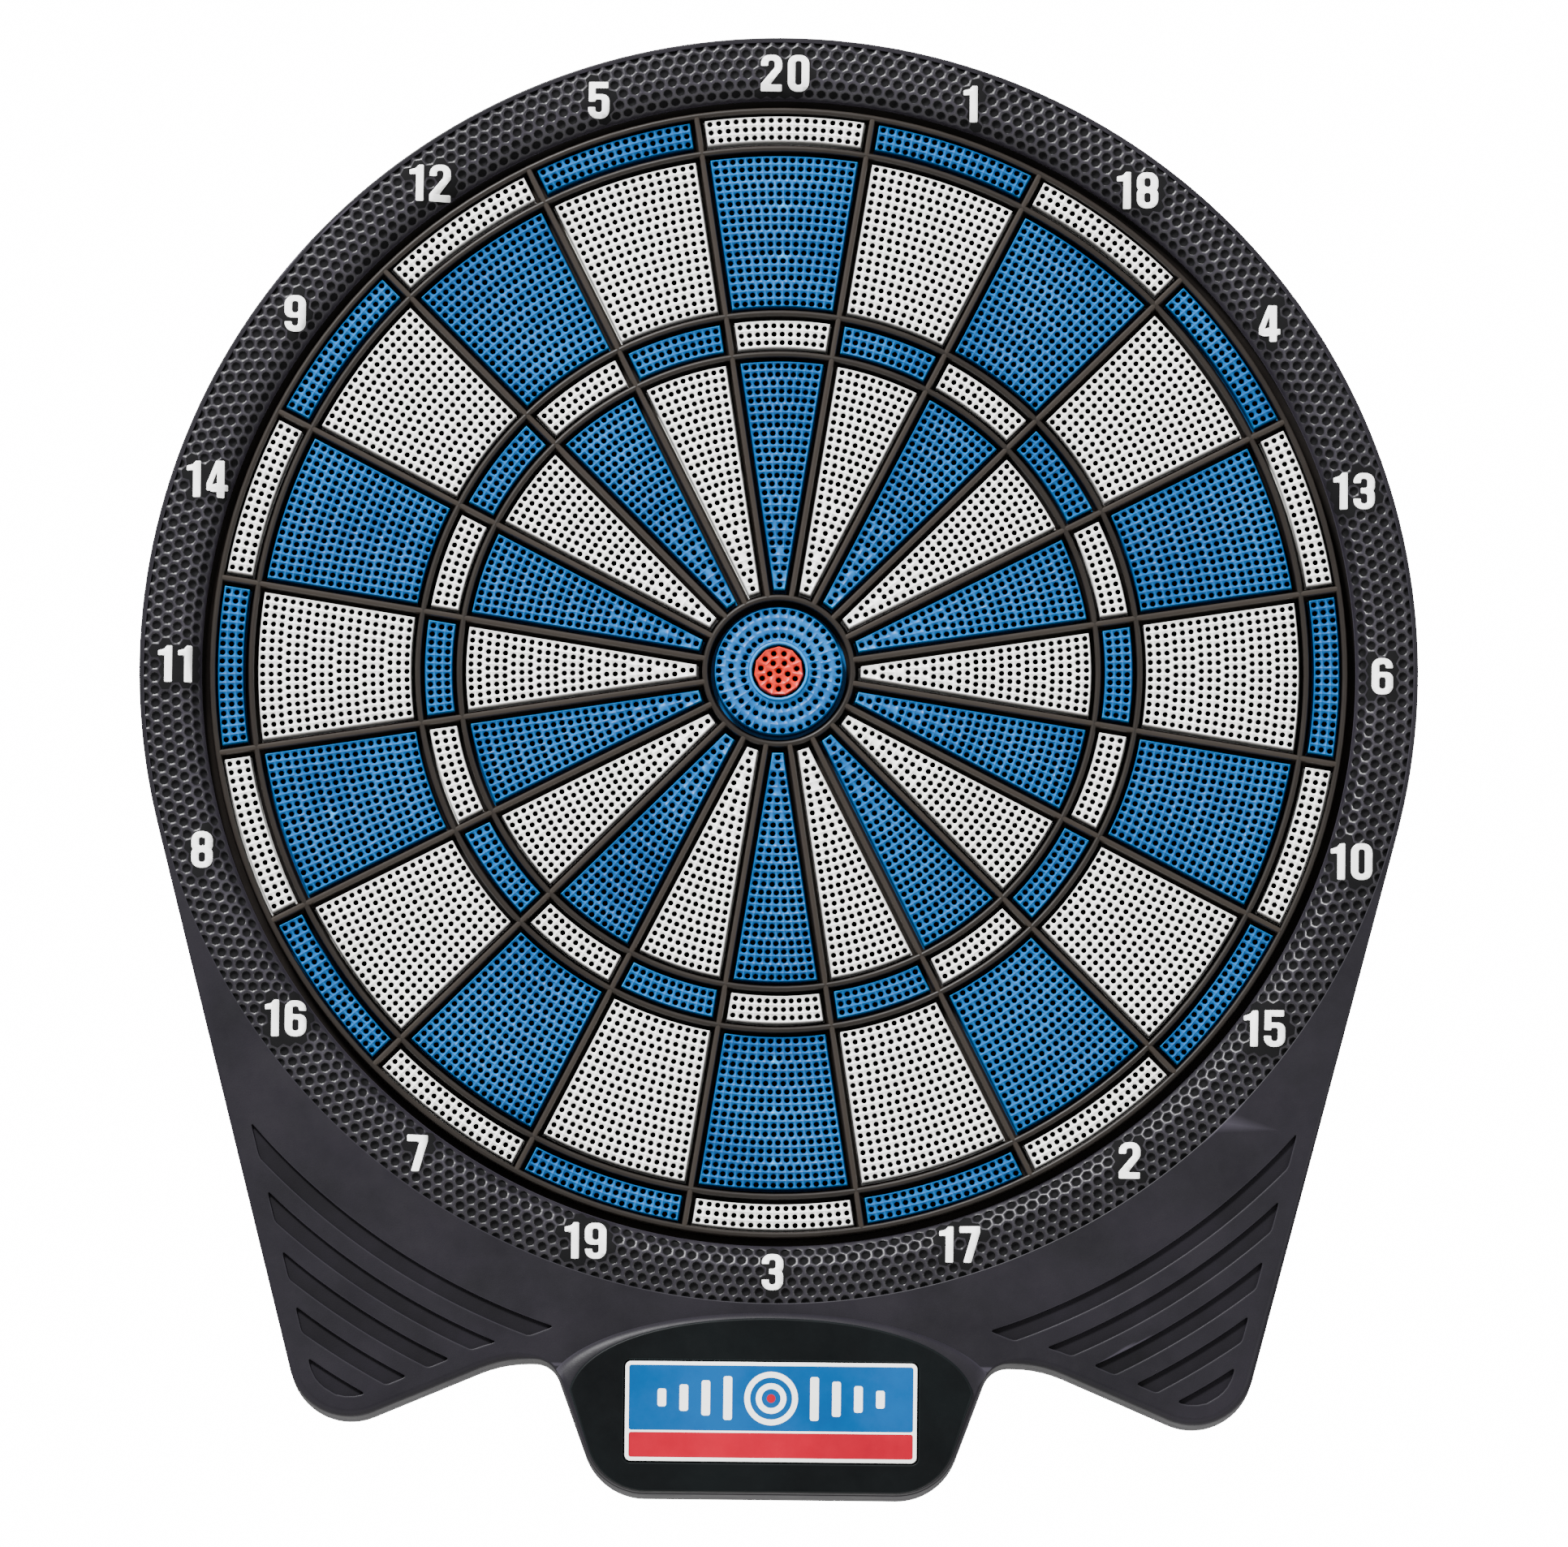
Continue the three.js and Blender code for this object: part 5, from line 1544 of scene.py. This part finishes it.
for i, (x, y) in enumerate(CASE_SCREWS, 1):
    name = f"case_screw_head_{i}"
    piece(name, case_screw_shape(x, y).mesh(name), [ZINC], "casing", [f"case_screw_{i}"])

# ---------------------------------------------------------------- finishes of the pieces inside

INSIDE = {
    "spring_mat": RUBBER,
    "matrix_film_upper": FILM,
    "matrix_film_lower": FILM,
    "matrix_tail": FILM,
    "backing_board": HARDBOARD,
    "circuit_board": SOLDER_MASK,
    "speaker": DARK_PARTS,
    "switch_body": DARK_PARTS,
    "battery_lead": SLEEVING,
    "speaker_lead": SLEEVING_DARK,
    "contact_strip_left": NICKEL,
    "contact_strip_right": NICKEL,
    **{f"battery_{i}": CELL_SLEEVE for i in (1, 2, 3)},
    **{f"spider_screw_{i}": ZINC for i in (1, 2, 3, 4)},
}
for node, finish in INSIDE.items():
    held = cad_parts[node].data
    held.materials.clear()
    held.materials.append(finish)

# ---------------------------------------------------------------- stage, light and camera

FLOOR_REACH = 30
FLOOR_HEIGHT = -1.73
BACKDROP_STRENGTH = 16
ROUND_LIGHT_STRENGTH = 0.7

FLOOR_PAINT = coloured_finish("floor_paint", "d9d9d6", "e2e2df", "e2e2df", roughness=0.7, grain=3, relief=0.1)
floor = bpy.data.meshes.new("floor")
corners = [(-FLOOR_REACH, -FLOOR_REACH), (FLOOR_REACH, -FLOOR_REACH), (FLOOR_REACH, FLOOR_REACH),
           (-FLOOR_REACH, FLOOR_REACH)]
floor.from_pydata([(x, y, FLOOR_HEIGHT) for x, y in corners], [], [(0, 1, 2, 3)])
floor.materials.append(FLOOR_PAINT)
floor_object = bpy.data.objects.new("floor", floor)
bpy.context.scene.collection.objects.link(floor_object)

world = bpy.data.worlds.new("studio")
world.use_nodes = True
bpy.context.scene.world = world
sky = world.node_tree.nodes
sky.clear()
seen = sky.new("ShaderNodeBackground")
seen.label = "pale backdrop"
seen.inputs["Color"].default_value = (1, 1, 1, 1)
seen.inputs["Strength"].default_value = BACKDROP_STRENGTH
lit = sky.new("ShaderNodeBackground")
lit.label = "soft light from all round"
lit.inputs["Color"].default_value = (1, 1, 1, 1)
lit.inputs["Strength"].default_value = ROUND_LIGHT_STRENGTH
ray = sky.new("ShaderNodeLightPath")
ray.label = "what looks at the backdrop"
choose = sky.new("ShaderNodeMixShader")
choose.label = "backdrop or light"
sky_output = sky.new("ShaderNodeOutputWorld")
sky_output.label = "surroundings"
world.node_tree.links.new(ray.outputs["Is Camera Ray"], choose.inputs[0])
world.node_tree.links.new(lit.outputs["Background"], choose.inputs[1])
world.node_tree.links.new(seen.outputs["Background"], choose.inputs[2])
world.node_tree.links.new(choose.outputs["Shader"], sky_output.inputs["Surface"])
for column, node in enumerate((ray, lit, seen, choose, sky_output)):
    node.location = (220 * column, 0)


def softbox(name, place, size, power):
    """A square lamp that looks at the bull."""
    data = bpy.data.lights.new(name, "AREA")
    data.shape = "SQUARE"
    data.size = size
    data.energy = power
    lamp = bpy.data.objects.new(name, data)
    lamp.location = place
    lamp.rotation_euler = (-Vector(place)).to_track_quat("-Z", "Y").to_euler()
    bpy.context.scene.collection.objects.link(lamp)


softbox("key_light", (-1.3, -2.4, 2.6), 0.8, 520)
softbox("fill_light", (2.6, -2.8, 0.2), 2.0, 60)
softbox("back_light", (1.6, 2.8, 1.8), 1.6, 120)

VIEW_DISTANCE = 6
VIEW_ELEVATION = math.radians(-6.4)
VIEW_ROLL = math.radians(0.6)
VIEW_WIDTH = 0.5453
VIEW_AIM = (2.2, KEY_FRONT, -35.9)
SENSOR_WIDTH = 36
camera_data = bpy.data.cameras.new("camera")
camera_data.sensor_width = SENSOR_WIDTH
camera_data.lens = SENSOR_WIDTH * VIEW_DISTANCE / VIEW_WIDTH
camera_data.clip_end = 100
camera = bpy.data.objects.new("camera", camera_data)
bpy.context.scene.collection.objects.link(camera)
aim = Vector((VIEW_AIM[0] * MM, -VIEW_AIM[1] * MM, VIEW_AIM[2] * MM))
behind = Vector((0, -math.cos(VIEW_ELEVATION), math.sin(VIEW_ELEVATION)))
camera.location = aim + behind * VIEW_DISTANCE
camera.rotation_mode = "QUATERNION"
camera.rotation_quaternion = (-behind).to_track_quat("-Z", "Y") @ Quaternion((0, 0, 1), VIEW_ROLL)
bpy.context.scene.camera = camera
